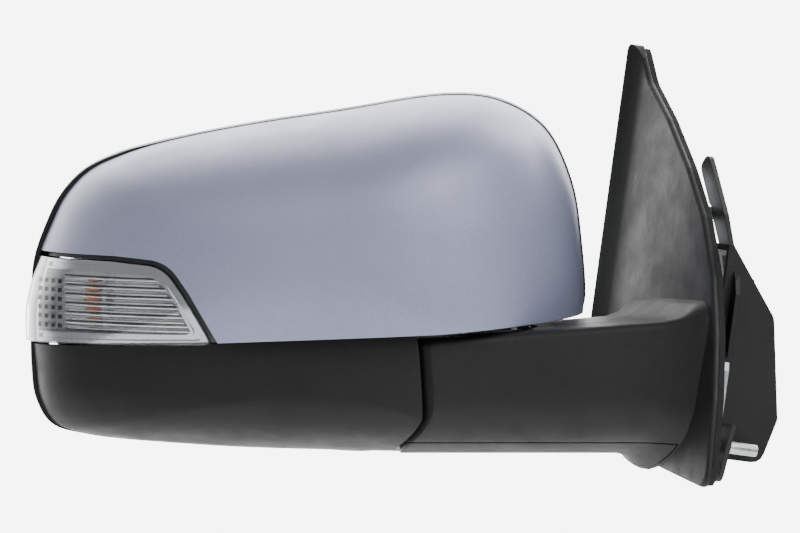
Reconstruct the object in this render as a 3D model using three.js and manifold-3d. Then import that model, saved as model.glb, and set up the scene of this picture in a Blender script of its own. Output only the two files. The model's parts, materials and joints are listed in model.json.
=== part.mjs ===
// A right-hand power-folding door mirror: a base on the door, a head that folds about a post in the arm,
// and a glass that tilts both ways inside the head. Millimetres and degrees, +Z up, +Y towards the rear of
// the car, +X towards the car. The origin is on the door skin, in the middle of the arm's root.
import * as THREE from "three";
import { mergeVertices } from "three/addons/utils/BufferGeometryUtils.js";
import Module from "manifold-3d";

const wasm = await Module();
wasm.setup();

// ---------------------------------------------------------------- driving dimensions
const GAP = 0.4; // clearance between pieces that touch
const SHOW_GAP = 2; // visible gap between covers that move past each other
const WALL = 2.5; // moulded cover wall

const DOOR_PLAN = 23; // the door skin turns this far from straight ahead, seen from above
const DOOR_LEAN = 8.5; // and leans in this far at the top

const PIVOT_X = -82.6; // fold axis, at the height of the origin
const FOLD_TILT = 4.5; // the fold axis leans outboard at the top

const ARM_TOP = 32; // arm's top above the origin, measured on the fold axis
const ARM_HALF_DEPTH = 38;
const ARM_BOTTOM = -28.6;
const SEAM_RADIUS = 48; // rounded outer end of the arm

const HEAD_OUT = 229; // fold axis to the head's outboard end
const HEAD_IN = 43; // fold axis to its inboard end
const HEAD_HEIGHT = 111.5; // arm's top to the crown of the head
const RIM_Y = 54; // rear rim of the head
const FRONT_Y = -58; // foremost point of the painted cover
const TIP_SWEEP = 34; // how far the front falls back at the outboard end
const SPLIT_Y = 34; // joint between the front covers and the rear housing

const GLASS_GAP = 4; // glass to the housing's opening
const GLASS_THICKNESS = 2;
const GLASS_Y = 47.5; // rear face of the glass
const SWIVEL_Y = 27; // centre the glass tilts about
const SWIVEL_OUT = 100; // and its place in the head
const SWIVEL_UP = 60;
const PLUNGER_LEVER = 28; // plunger to swivel centre

const POST_RADIUS = 10;
const POST_BORE = 6.5;
const POST_TOP = 100; // along the fold axis
const FOLD_MODULE = 1;
const CLUTCH_TEETH = 36;
const PINION_TEETH = 20;
const DRIVE_TEETH = 12;

const SAIL_OFFSET = 6; // sail's outer face stands this far off the door
const GASKET = 3;
const BRACKET_DEPTH = 38; // inner bracket reaches this far into the door
const STUD_RADIUS = 3;

const rad = THREE.MathUtils.degToRad;

// ---------------------------------------------------------------- solids
// A closed geometry as a manifold-3d solid, which can be joined and cut.
function solid(geometry) {
  const bare = geometry.index ? geometry.toNonIndexed() : geometry.clone();
  bare.deleteAttribute("normal");
  bare.deleteAttribute("uv");
  const merged = mergeVertices(bare, 1e-4);
  return new wasm.Manifold(
    new wasm.Mesh({
      numProp: 3,
      vertProperties: merged.attributes.position.array,
      triVerts: new Uint32Array(merged.index.array),
    }),
  );
}

const join = (first, ...others) => others.reduce((a, b) => a.add(b), first);
const cut = (first, ...others) => others.reduce((a, b) => a.subtract(b), first);
const common = (first, ...others) => others.reduce((a, b) => a.intersect(b), first);

// A solid as a geometry that a mesh can hold.
function geometryOf(body) {
  const { vertProperties, triVerts } = body.getMesh();
  return new THREE.BufferGeometry()
    .setAttribute("position", new THREE.BufferAttribute(vertProperties, 3))
    .setIndex(new THREE.BufferAttribute(triVerts, 1));
}

function box([x0, x1], [y0, y1], [z0, z1]) {
  const shape = new THREE.BoxGeometry(x1 - x0, y1 - y0, z1 - z0);
  return solid(shape.translate((x0 + x1) / 2, (y0 + y1) / 2, (z0 + z1) / 2));
}

// A round bar between two points.
function bar(radius, from, to, sides = 16, farRadius = radius) {
  const a = new THREE.Vector3(...from);
  const along = new THREE.Vector3(...to).sub(a);
  const shape = new THREE.CylinderGeometry(farRadius, radius, along.length(), sides);
  shape.translate(0, along.length() / 2, 0);
  const turn = new THREE.Quaternion().setFromUnitVectors(new THREE.Vector3(0, 1, 0), along.normalize());
  return solid(shape.applyQuaternion(turn).translate(a.x, a.y, a.z));
}

// A body of revolution about Z from a closed list of [radius, height], listed anticlockwise.
function turned(profile, sides = 24) {
  const points = [...profile, profile[0]].map(([r, z]) => new THREE.Vector2(r, z));
  return solid(new THREE.LatheGeometry(points, sides).rotateX(Math.PI / 2));
}

const shapeOf = (outline, hole) => {
  const shape = new THREE.Shape(outline.map(([x, y]) => new THREE.Vector2(x, y)));
  if (hole) shape.holes.push(new THREE.Path(hole.map(([x, y]) => new THREE.Vector2(x, y))));
  return shape;
};

// An outline in X and Y, as thick as from z0 to z1.
function slab(outline, z0, z1, hole) {
  const shape = new THREE.ExtrudeGeometry(shapeOf(outline, hole), { depth: z1 - z0, bevelEnabled: false });
  return solid(shape.translate(0, 0, z0));
}

// An outline in X and Z, as deep as from y0 to y1.
function wall(outline, y0, y1, hole) {
  const shape = new THREE.ExtrudeGeometry(shapeOf(outline, hole), { depth: y1 - y0, bevelEnabled: false });
  return solid(shape.rotateX(Math.PI / 2).translate(0, y1, 0));
}

// A closed smooth curve through a few points, as an even list of points.
function smooth(points, count) {
  const curve = new THREE.CatmullRomCurve3(
    points.map(([x, y]) => new THREE.Vector3(x, y, 0)),
    true,
    "centripetal",
  );
  return curve.getSpacedPoints(count).slice(0, count).map((p) => [p.x, p.y]);
}

// A polygon with each corner rounded: each corner is [x, y, radius].
function rounded(corners, steps = 3) {
  return corners.flatMap(([x, y, radius], i) => {
    const corner = new THREE.Vector2(x, y);
    const before = new THREE.Vector2(...corners.at(i - 1)).sub(corner);
    const after = new THREE.Vector2(...corners[(i + 1) % corners.length]).sub(corner);
    const half = Math.acos(before.clone().normalize().dot(after.clone().normalize())) / 2;
    const back = Math.min(radius / Math.tan(half), before.length() * 0.48, after.length() * 0.48);
    if (radius === 0) return [[x, y]];
    const start = corner.clone().addScaledVector(before.normalize(), back);
    const end = corner.clone().addScaledVector(after.normalize(), back);
    const bend = new THREE.QuadraticBezierCurve(start, corner, end);
    return bend.getPoints(steps).map((p) => [p.x, p.y]);
  });
}

const area = (points) => THREE.ShapeUtils.area(points.map(([x, y]) => ({ x, y })));

// An outline moved inwards by a distance, corner by corner.
function inset(points, distance) {
  const turn = Math.sign(area(points));
  return points.map(([x, y], i) => {
    const before = points.at(i - 1);
    const after = points[(i + 1) % points.length];
    const a = new THREE.Vector2(x - before[0], y - before[1]).normalize();
    const b = new THREE.Vector2(after[0] - x, after[1] - y).normalize();
    const inward = new THREE.Vector2(-(a.y + b.y), a.x + b.x).normalize();
    const reach = (turn * distance) / Math.max(0.5, inward.dot(new THREE.Vector2(-a.y, a.x)));
    return [x + inward.x * reach, y + inward.y * reach];
  });
}

// A rounded polygon's outline, with its sides moved inwards by a distance.
const offset = (corners, distance, steps = 3) =>
  rounded(
    inset(corners, distance).map((point, i) => [...point, corners[i][2]]),
    steps,
  );

// A solid skinned over rings of points that all have the same count.
function loft(rings) {
  const count = rings[0].length;
  const middle = (ring) => ring.reduce((sum, p) => sum.add(p), new THREE.Vector3()).divideScalar(count);
  const points = [...rings.flat(), middle(rings[0]), middle(rings.at(-1))];
  const faces = [];
  for (let i = 0; i < count; i++) {
    const j = (i + 1) % count;
    for (let k = 0; k + 1 < rings.length; k++) {
      const a = k * count;
      faces.push(a + i, a + j, a + count + j, a + i, a + count + j, a + count + i);
    }
    const last = (rings.length - 1) * count;
    faces.push(points.length - 2, j, i, points.length - 1, last + i, last + j);
  }
  const shape = new THREE.BufferGeometry();
  shape.setAttribute("position", new THREE.Float32BufferAttribute(points.flatMap((p) => [p.x, p.y, p.z]), 3));
  shape.setIndex(faces);
  const made = solid(shape);
  if (made.volume() > 0) return made;
  shape.setIndex(faces.toReversed());
  return solid(shape);
}

// A round lead along a smooth path.
function lead(points, radius, steps) {
  const path = new THREE.CatmullRomCurve3(points.map((p) => new THREE.Vector3(...p)), false, "centripetal");
  const ring = new THREE.Shape();
  ring.absarc(0, 0, radius, 0, 2 * Math.PI);
  return solid(new THREE.ExtrudeGeometry(ring, { steps, curveSegments: 3, extrudePath: path }));
}

// A spur gear's outline: straight-flanked teeth with running backlash.
function gearOutline(teeth, module, phase = 0) {
  const pitch = (module * teeth) / 2;
  const step = (2 * Math.PI) / teeth;
  const flanks = [
    [pitch - 1.2 * module, -0.3],
    [pitch - 0.1 * module, -0.22],
    [pitch + 0.75 * module, -0.12],
    [pitch + 0.75 * module, 0.12],
    [pitch - 0.1 * module, 0.22],
    [pitch - 1.2 * module, 0.3],
  ];
  return Array.from({ length: teeth }, (_, i) =>
    flanks.map(([r, turn]) => {
      const angle = (i + phase + turn) * step;
      return [r * Math.cos(angle), r * Math.sin(angle)];
    }),
  ).flat();
}

const circle = (radius, sides = 24, x = 0, y = 0) =>
  Array.from({ length: sides }, (_, i) => {
    const angle = (2 * Math.PI * i) / sides;
    return [x + radius * Math.cos(angle), y + radius * Math.sin(angle)];
  });

// ---------------------------------------------------------------- frames
const root = new THREE.Group();
root.name = "door_mirror";

// Door frame: local X runs rearwards along the door, Y up it, Z into it.
const door = new THREE.Group();
const a = rad(DOOR_PLAN);
const t = rad(DOOR_LEAN);
const doorAxes = new THREE.Matrix4().makeBasis(
  new THREE.Vector3(-Math.sin(a), Math.cos(a), 0),
  new THREE.Vector3(Math.sin(t) * Math.cos(a), Math.sin(t) * Math.sin(a), Math.cos(t)),
  new THREE.Vector3(Math.cos(t) * Math.cos(a), Math.cos(t) * Math.sin(a), -Math.sin(t)),
);
door.quaternion.setFromRotationMatrix(doorAxes);
root.add(door);

// Head frame: upright, with its origin on the fold axis. Pivot frame: the same origin, Z along the fold axis.
const head = new THREE.Group();
head.position.set(PIVOT_X, 0, 0);
const pivot = new THREE.Group();
pivot.rotation.y = -rad(FOLD_TILT);
head.add(pivot);
root.add(head);

// A solid built in one frame, moved into another as a solid.
function carried(body, matrix) {
  return solid(geometryOf(body).applyMatrix4(matrix));
}
const tiltMatrix = new THREE.Matrix4().makeRotationY(-rad(FOLD_TILT));
const headMatrix = new THREE.Matrix4().makeTranslation(PIVOT_X, 0, 0);
const fromPivot = (body) => carried(body, tiltMatrix);
const rise = Math.tan(rad(FOLD_TILT));

const finish = {
  paint: [0x9aa0b4, 0.35, 0.3],
  black: [0x232427, 0.7, 0],
  dark: [0x101211, 0.6, 0],
  lens: [0xc4c8cb, 0.1, 0],
  chrome: [0xd0d2d4, 0.15, 1],
  amber: [0xe07a10, 0.3, 0],
  cast: [0xa4a8ac, 0.5, 0.8],
  steel: [0x8d9196, 0.4, 1],
  gear: [0xe8e4d8, 0.5, 0],
  foam: [0x0c0d0d, 0.95, 0],
  connector: [0xabafb2, 0.5, 0],
  mirror: [0xdfe5ea, 0.02, 1],
  heater: [0xb26a2c, 0.6, 0],
};

function piece(group, name, body, [color, roughness, metalness]) {
  const material = new THREE.MeshStandardMaterial({ color, roughness, metalness });
  const mesh = new THREE.Mesh(geometryOf(body), material);
  mesh.name = name;
  group.add(mesh);
}

// ---------------------------------------------------------------- outlines of the head, seen from the front
const HEAD_TOP = ARM_TOP + HEAD_HEIGHT;
const UNDERSIDE = ARM_TOP + SHOW_GAP; // head's floor above the arm, on the fold axis
const EDGE = 0.5; // the painted cover's lower edge stands this far above the floor

// Outboard point of the head at a share of the way out, and a height share above the arm.
const out = (share) => -HEAD_OUT * share;
const up = (share) => ARM_TOP + HEAD_HEIGHT * share;

const BROW = [
  [HEAD_IN, up(0.05)],
  [HEAD_IN - 1.5, up(0.38)],
  [HEAD_IN - 6, up(0.62)],
  [HEAD_IN - 19, up(0.855)],
  [HEAD_IN - 41, up(0.975)],
  [HEAD_IN - 66, up(0.998)],
  [out(0.33), up(0.928)],
  [out(0.54), up(0.862)],
  [out(0.7), up(0.795)],
  [out(0.79), up(0.745)],
  [out(0.865), up(0.672)],
  [out(0.915), up(0.565)],
  [out(0.948), up(0.43)],
];
const BEZEL_SHOW = 2.2; // the rear housing shows this far outside the paint at the outboard end
const paintOutline = smooth(
  [
    ...BROW.map(([x, z]) => (x < out(0.75) ? [x + BEZEL_SHOW, z - 0.8] : [x, z])),
    [out(0.978), up(0.24)],
    [out(0.998), up(0.03)],
    [out(0.975), 8],
    [out(0.85), -8],
    [out(0.5), -10],
    [out(0.0), -8],
    [HEAD_IN - 8, 2],
  ],
  44,
);
const lowerOutline = smooth(
  [
    [HEAD_IN, 60],
    [0, 78],
    [out(0.5), 80],
    [out(0.93), 70],
    [out(0.978), 40],
    [out(0.976), 12],
    [out(0.965), -4],
    [out(0.93), -16],
    [out(0.86), -20.8],
    [out(0.62), -25.9],
    [out(0.3), ARM_BOTTOM + 0.4],
    [0, ARM_BOTTOM],
    [HEAD_IN - 10, -25],
    [HEAD_IN, 0],
  ],
  44,
);

// How far forward the head's front reaches, which falls back towards the outboard end.
const sweep = (x) => TIP_SWEEP * Math.max(0, -x / HEAD_OUT) ** 2.2;

// A domed solid: from its outline at the rear rim it closes over a centre by a superellipse.
function dome(outline, [cx, cz], front, power, depth, rings = 6) {
  const edge = inset(outline, depth);
  const section = Array.from({ length: rings }, (_, k) => {
    const angle = (Math.PI / 2) * (k / (rings - 0.4));
    const share = Math.cos(angle) ** (2 / power);
    const height = Math.sin(angle) ** (2 / power);
    return edge.map(([x, z]) => {
      const px = cx + (x - cx) * share;
      const foremost = front + depth + sweep(px);
      return new THREE.Vector3(px, RIM_Y - (RIM_Y - foremost) * height, cz + (z - cz) * share);
    });
  });
  const back = section[0].map((p) => new THREE.Vector3(p.x, RIM_Y + 10, p.z));
  return loft([back, ...section]);
}

const PAINT_CENTRE = [-HEAD_OUT * 0.37, 72];
const LOWER_CENTRE = [-HEAD_OUT * 0.37, 6];
const paintDome = (depth) => dome(paintOutline, PAINT_CENTRE, FRONT_Y, 2.5, depth);
const lowerDome = (depth) => dome(lowerOutline, LOWER_CENTRE, -ARM_HALF_DEPTH, 3, depth);

// The painted cover's lower edge: level outboard, then along the arm's top.
const edgeHeight = (x) => (x > -27 ? UNDERSIDE + EDGE + rise * x : 32.4 + (x + 27) * 0.044);
const FAR = 400;
function aboveEdge(lift) {
  const points = [-FAR, -27, FAR].map((x) => [x, edgeHeight(x) + lift]);
  return wall([[-FAR, FAR], ...points, [FAR, FAR]], -FAR, FAR);
}
function belowEdge(drop) {
  const points = [FAR, -27, -FAR].map((x) => [x, edgeHeight(x) - drop]);
  return wall([[FAR, -FAR], ...points, [-FAR, -FAR]], -FAR, FAR);
}
const forwardOf = (y) => box([-FAR, FAR], [-FAR, y], [-FAR, FAR]);

// Turn signal's outline, at the outboard end.
const lampCorners = [
  [out(1.06), edgeHeight(out(1.06)) + 1.5, 0],
  [out(0.59), edgeHeight(out(0.59)) - 1, 3],
  [out(0.655), 49, 14],
  [out(0.7), 62, 14],
  [out(0.8), 65.5, 10],
  [out(1.06), 66.5, 0],
];
const lampPrism = (depth) => wall(offset(lampCorners, depth), -FAR, FAR);
const LAMP_RECESS = 2.6;

// ---------------------------------------------------------------- covers of the head
const FLOOR = UNDERSIDE * Math.cos(rad(FOLD_TILT)); // head's floor, along the fold axis
const HEAD_SEAM = SEAM_RADIUS + SHOW_GAP;
const front = forwardOf(SPLIT_Y - GAP);

// Space that the arm needs inside the head's outline, grown by a wall.
function armSpace(grow) {
  const around = bar(HEAD_SEAM + grow, [0, 0, -90], [0, 0, FLOOR + grow], 48);
  return fromPivot(join(around, box([0, 150], [-90, 90], [-90, FLOOR + grow])));
}

piece(
  head,
  "upper_cover",
  cut(
    common(paintDome(0), front, aboveEdge(0)),
    paintDome(WALL),
    lampPrism(-LAMP_RECESS),
  ),
  finish.paint,
);

const FLOOR_HOLE = 30;
const floorPlate = fromPivot(
  cut(
    join(
      bar(HEAD_SEAM + WALL, [0, 0, FLOOR], [0, 0, FLOOR + WALL], 48),
      box([0, 150], [-90, 90], [FLOOR, FLOOR + WALL]),
    ),
    bar(FLOOR_HOLE, [0, 0, FLOOR - 1], [0, 0, FLOOR + WALL + 1], 28),
  ),
);
const seamWall = fromPivot(
  cut(
    bar(HEAD_SEAM + WALL, [0, 0, -60], [0, 0, FLOOR + WALL], 48),
    bar(HEAD_SEAM, [0, 0, -90], [0, 0, FLOOR + WALL + 1], 48),
    box([-20, 150], [-90, 90], [-90, 90]),
  ),
);
const lowerRegion = common(lowerDome(0), front, belowEdge(0.6));
piece(
  head,
  "lower_cover",
  join(
    cut(lowerRegion, cut(lowerDome(WALL), armSpace(WALL)), armSpace(0)),
    common(floorPlate, paintDome(WALL + GAP), front),
    common(seamWall, lowerDome(0.1), paintDome(WALL + GAP), front),
    common(seamWall, lowerDome(0.1), front, belowEdge(1)),
  ),
  finish.black,
);

// ---------------------------------------------------------------- turn signal
const LENS_WALL = 2;
const BULB = [-HEAD_OUT * 0.84, 46];
const along = (y) => [BULB[0], y, BULB[1]];
const LAMP_BACK = 22; // rear wall of the reflector
const SOCKET_RADIUS = 7;
piece(
  head,
  "lamp_lens",
  cut(common(paintDome(0), lampPrism(0), front), paintDome(LENS_WALL)),
  finish.lens,
);
piece(
  head,
  "lamp_housing",
  cut(
    common(paintDome(LENS_WALL + GAP), lampPrism(0.5), forwardOf(LAMP_BACK)),
    common(paintDome(LENS_WALL - 1), lampPrism(2.3), forwardOf(LAMP_BACK - 2)),
    bar(5, along(0), along(LAMP_BACK + 8), 24),
  ),
  finish.chrome,
);
piece(
  head,
  "lamp_bulb",
  bar(4, along(LAMP_BACK - 16), along(LAMP_BACK - 3), 14),
  finish.amber,
);
piece(
  head,
  "bulb_socket",
  cut(
    join(
      bar(4.6, along(LAMP_BACK - 7), along(LAMP_BACK + 3), 14),
      bar(SOCKET_RADIUS, along(LAMP_BACK + GAP), along(LAMP_BACK + 4.5), 14),
    ),
    bar(4.3, along(0), along(LAMP_BACK - 3 + GAP), 14),
  ),
  finish.dark,
);

// ---------------------------------------------------------------- glass and rear housing
const glassOutline = rounded([
  [HEAD_IN - 13, up(0.17), 14],
  [HEAD_IN - 15, up(0.68), 30],
  [HEAD_IN - 38, up(0.87), 26],
  [out(0.33), up(0.822), 60],
  [out(0.7), up(0.7), 40],
  [out(0.87), up(0.52), 34],
  [out(0.925), up(0.07), 40],
  [out(0.92), -4, 18],
  [out(0.84), -12.5, 16],
  [-74, -17, 14],
  [-58, 18, 20],
  [-40, 44, 22],
]);
const STEP_X = -44.5;
const floorLine = (x) => UNDERSIDE + rise * x + EDGE;
const housingOutline = smooth(
  [
    ...BROW.slice(1),
    [out(0.972), up(0.28)],
    [out(0.978), up(0.05)],
    [out(0.977), 12],
    [out(0.968), -3],
    [out(0.935), -15.5],
    [out(0.86), -20.8],
    [out(0.62), -25.9],
    [out(0.4), -27.8],
    [STEP_X - 12, -28.4],
    [STEP_X - 3, -24],
    [STEP_X, -8],
    [STEP_X, 8],
    [STEP_X, 22],
    [STEP_X + 3.5, floorLine(STEP_X + 3.5) + 0.3],
    [STEP_X + 14, floorLine(STEP_X + 14)],
    [0, floorLine(0)],
    [HEAD_IN - 12, floorLine(HEAD_IN - 12)],
    [HEAD_IN - 2.5, floorLine(HEAD_IN) + 0.5],
    [HEAD_IN, floorLine(HEAD_IN) + 5],
  ],
  70,
);
const OPENING_WALL = 2;
const opening = inset(glassOutline, -GLASS_GAP);
const LIP = 3;
piece(
  head,
  "rear_housing",
  cut(
    join(
      cut(
        wall(housingOutline, SPLIT_Y, RIM_Y),
        wall(inset(housingOutline, WALL), SPLIT_Y - 5, RIM_Y - LIP),
      ),
      wall(inset(glassOutline, -GLASS_GAP - OPENING_WALL), SPLIT_Y + 2, RIM_Y - 1),
    ),
    wall(opening, SPLIT_Y - 5, RIM_Y + 5),
  ),
  finish.black,
);

const glass = new THREE.Group();
head.add(glass);
const PAD = 0.8;
const CARRIER = 2.6;
const heaterBack = GLASS_Y - GLASS_THICKNESS - GAP;
const carrierBack = heaterBack - PAD - GAP;
piece(glass, "mirror_glass", wall(glassOutline, GLASS_Y - GLASS_THICKNESS, GLASS_Y), finish.mirror);
piece(glass, "heater_pad", wall(inset(glassOutline, 6), heaterBack - PAD, heaterBack), finish.heater);
piece(glass, "glass_carrier", wall(inset(glassOutline, 1.5), carrierBack - CARRIER, carrierBack), finish.dark);

// ---------------------------------------------------------------- glass adjuster
// Built about the swivel centre: X and Z across the glass, Y towards it.
const adjuster = new THREE.Group();
adjuster.position.set(-SWIVEL_OUT, SWIVEL_Y, SWIVEL_UP);
head.add(adjuster);
const CASE_RADIUS = PLUNGER_LEVER + 13;
const CASE_BACK = -7; // case's rear face, from the swivel centre
const CASE_SPLIT = -19;
const CASE_FRONT = -31;
const PEDESTAL = 11;
const RING = [12.6, 18]; // gimbal ring, inner and outer radius
const PIN = 1.6;
const PLATE = 6; // swivel plate's front face
const HUB = [19.6, 24];
const round = (radius, y0, y1, sides = 28) => bar(radius, [0, y0, 0], [0, y1, 0], sides);
const PLUNGER = 2.6;
const plungers = {
  horizontal: [-PLUNGER_LEVER, 0],
  vertical: [0, PLUNGER_LEVER],
};

piece(
  adjuster,
  "gimbal_ring",
  cut(
    join(
      cut(round(RING[1], -2.5, 2.5), round(RING[0], -3, 3)),
      bar(PIN, [0, 0, RING[0] + 1], [0, 0, PEDESTAL - 3], 12),
      bar(PIN, [0, 0, -RING[0] - 1], [0, 0, 3 - PEDESTAL], 12),
    ),
    bar(PIN + GAP, [RING[0] + 2, 0, 0], [RING[1] + 1, 0, 0], 12),
    bar(PIN + GAP, [-RING[0] - 2, 0, 0], [-RING[1] - 1, 0, 0], 12),
  ),
  finish.gear,
);
const carrierFront = carrierBack - CARRIER - SWIVEL_Y;
piece(
  adjuster,
  "swivel_plate",
  join(
    round(PLUNGER_LEVER + 8, PLATE, PLATE + 2),
    cut(
      round(PLUNGER_LEVER + 6, PLATE + 1, carrierFront - GAP),
      round(PLUNGER_LEVER + 3, PLATE, carrierFront),
    ),
    cut(round(HUB[1], -2, PLATE + 1), round(HUB[0], -3, PLATE)),
    bar(PIN, [HUB[0] + 1, 0, 0], [RING[0] + 3, 0, 0], 12),
    bar(PIN, [-HUB[0] - 1, 0, 0], [-RING[0] - 3, 0, 0], 12),
  ),
  finish.gear,
);

// Case halves: a back with the pedestal, and a front that the frame carries.
const caseHoles = Object.values(plungers).map(([x, z]) =>
  bar(PLUNGER + 2.2, [x, CASE_FRONT + 6, z], [x, 5, z], 16),
);
const pinHole = bar(PIN + GAP, [0, 0, -PEDESTAL - 1], [0, 0, PEDESTAL + 1], 12);
piece(
  adjuster,
  "actuator_case_rear",
  cut(
    join(
      cut(round(CASE_RADIUS, CASE_SPLIT, CASE_BACK), round(CASE_RADIUS - 2, CASE_SPLIT - 1, CASE_BACK - 2)),
      round(PEDESTAL, CASE_SPLIT, 3.5, 24),
    ),
    pinHole,
    ...caseHoles,
  ),
  finish.dark,
);
piece(
  adjuster,
  "actuator_case_front",
  cut(
    round(CASE_RADIUS, CASE_FRONT, CASE_SPLIT - GAP),
    round(CASE_RADIUS - 2, CASE_FRONT + 2, CASE_SPLIT + 1),
  ),
  finish.dark,
);

// Each plunger is a rack with a round nose; a drive gear beside it moves it.
const GEAR_WIDTH = 4;
const PITCH = Math.PI; // rack tooth pitch for a module of 1
const driveRadius = DRIVE_TEETH / 2;
const GEAR_Y = -17.5;
function plunger() {
  const teeth = Array.from({ length: 5 }, (_, i) => {
    const y = GEAR_Y + (i - 2) * PITCH;
    return wallAcross([
      [-2.2, y - 0.8],
      [-3.9, y - 0.36],
      [-3.9, y + 0.36],
      [-2.2, y + 0.8],
    ]);
  });
  return join(
    bar(PLUNGER - 0.2, [0, GEAR_Y - 7, 0], [0, PLATE - 1.2, 0], 16),
    bar(PLUNGER - 0.2, [0, PLATE - 1.21, 0], [0, PLATE - 0.7, 0], 16, 1.4),
    ...teeth,
  );
}
// An outline in X and Y, across a gear's width in Z.
function wallAcross(outline) {
  return slab(outline, -GEAR_WIDTH / 2 + 0.2, GEAR_WIDTH / 2 - 0.2);
}
const driveGear = () =>
  join(
    slab(gearOutline(DRIVE_TEETH, 1, 0.5), -GEAR_WIDTH / 2, GEAR_WIDTH / 2),
    bar(1.5, [0, 0, -4.5], [0, 0, 4.5], 12),
  );
const horizontal = new THREE.Group();
horizontal.position.set(plungers.horizontal[0], 0, 0);
horizontal.rotation.y = -Math.PI / 2;
const vertical = new THREE.Group();
vertical.position.set(0, 0, plungers.vertical[1]);
vertical.rotation.y = Math.PI;
adjuster.add(horizontal, vertical);
const rackLine = 3.2; // rack's pitch line, from the plunger's axis
for (const [name, group] of [
  ["horizontal", horizontal],
  ["vertical", vertical],
]) {
  piece(group, name + "_plunger", plunger(), finish.gear);
  const seat = new THREE.Group();
  seat.position.set(-rackLine - driveRadius, GEAR_Y, 0);
  group.add(seat);
  piece(seat, name + "_drive_gear", driveGear(), finish.gear);
}
const MOTOR = 7.5;
piece(
  adjuster,
  "horizontal_motor",
  join(bar(MOTOR, [-18, -20, -25.5], [10, -20, -25.5], 24), bar(1, [9, -20, -25.5], [14, -20, -25.5], 12)),
  finish.steel,
);
piece(
  adjuster,
  "vertical_motor",
  join(bar(MOTOR, [25.5, -20, -16], [25.5, -20, 12], 24), bar(1, [25.5, -20, 11], [25.5, -20, 16], 12)),
  finish.steel,
);

// ---------------------------------------------------------------- fold unit
const GEAR_Z = [46, 52]; // clutch gear and pinion, along the fold axis
const CASE_FLOOR = FLOOR + WALL + GAP;
const CASE_STEP = GEAR_Z[1] + 4;
const CASE_TOP = 92;
const SHAFT_GAP = 0.1;
const clutchRadius = (CLUTCH_TEETH * FOLD_MODULE) / 2;
const PINION_X = -clutchRadius - (PINION_TEETH * FOLD_MODULE) / 2 - 0.3;
const caseRadius = clutchRadius + 5;
const podRadius = (PINION_TEETH * FOLD_MODULE) / 2 + 4;
const INNER_WALL = 2;
const NECK = POST_RADIUS + 6.5; // upper part of the case, which holds the spring
const post = (radius, z0, z1, sides = 24) => bar(radius, [0, 0, z0], [0, 0, z1], sides);
const pod = (radius, z0, z1, sides = 20) => bar(radius, [PINION_X, 0, z0], [PINION_X, 0, z1], sides);
const BUSH = POST_RADIUS + SHAFT_GAP + 2;

piece(
  pivot,
  "fold_case",
  cut(
    join(
      post(caseRadius, CASE_FLOOR, CASE_STEP, 28),
      pod(podRadius, CASE_FLOOR, CASE_STEP),
      post(NECK + INNER_WALL, CASE_STEP - 1, CASE_TOP, 28),
    ),
    post(BUSH + GAP, CASE_FLOOR - 1, CASE_STEP, 24),
    post(caseRadius - INNER_WALL, GEAR_Z[0] - 3, GEAR_Z[1] + 2, 28),
    pod(podRadius - INNER_WALL, GEAR_Z[0] - 3, GEAR_Z[1] + 2),
    post(NECK, GEAR_Z[1], CASE_TOP + 1, 28),
    pod(3.4, GEAR_Z[1], CASE_STEP + 1, 14),
  ),
  finish.dark,
);
piece(
  pivot,
  "fold_case_cap",
  turned([
    [POST_RADIUS + 1, CASE_TOP + GAP],
    [NECK + INNER_WALL, CASE_TOP + GAP],
    [NECK + INNER_WALL, CASE_TOP + 2.4],
    [NECK - 1, CASE_TOP + 4],
    [POST_RADIUS + 1, CASE_TOP + 4],
  ]),
  finish.dark,
);
piece(
  pivot,
  "pivot_bush",
  turned([
    [POST_RADIUS + SHAFT_GAP, CASE_FLOOR + GAP],
    [BUSH, CASE_FLOOR + GAP],
    [BUSH, GEAR_Z[0] - 3 - GAP],
    [POST_RADIUS + SHAFT_GAP, GEAR_Z[0] - 3 - GAP],
  ]),
  finish.gear,
);
const MOTOR_Z = [CASE_STEP + GAP, CASE_STEP + 34];
const FOLD_MOTOR = -PINION_X - NECK - INNER_WALL - 1;
piece(
  pivot,
  "fold_motor",
  join(pod(FOLD_MOTOR, ...MOTOR_Z), pod(2.6, GEAR_Z[1] + 1.2, MOTOR_Z[0] + 1, 16)),
  finish.steel,
);
const spindle = new THREE.Group();
spindle.position.set(PINION_X, 0, 0);
pivot.add(spindle);
piece(
  spindle,
  "fold_pinion",
  join(
    slab(gearOutline(PINION_TEETH, FOLD_MODULE, 0.5), ...GEAR_Z),
    bar(3, [0, 0, GEAR_Z[0] - 2.6], [0, 0, GEAR_Z[0] + 1], 16),
  ),
  finish.gear,
);

// Fixed on the base: post, detent ring, clutch gear, spring and clip.
const DETENT_Z = ARM_TOP * Math.cos(rad(FOLD_TILT)) - 4;
const POST_FLANGE = 20;
piece(
  pivot,
  "pivot_post",
  turned([
    [POST_BORE, -8],
    [POST_RADIUS, -8],
    [POST_RADIUS, DETENT_Z - 5],
    [POST_FLANGE, DETENT_Z - 5],
    [POST_FLANGE, DETENT_Z],
    [POST_RADIUS, DETENT_Z],
    [POST_RADIUS, POST_TOP],
    [POST_BORE, POST_TOP],
  ]),
  finish.steel,
);
const detentTeeth = Array.from({ length: 3 }, (_, i) => {
  const angle = (2 * Math.PI * i) / 3;
  const at = (r, z) => [r * Math.cos(angle), r * Math.sin(angle), z];
  return bar(2.6, at(12.5, DETENT_Z + 4), at(18.5, DETENT_Z + 4), 12);
});
piece(
  pivot,
  "detent_ring",
  join(
    turned([
      [POST_RADIUS + GAP, DETENT_Z + GAP],
      [POST_FLANGE - 0.5, DETENT_Z + GAP],
      [POST_FLANGE - 0.5, DETENT_Z + 4],
      [POST_RADIUS + GAP, DETENT_Z + 4],
    ]),
    ...detentTeeth,
  ),
  finish.steel,
);
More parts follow.
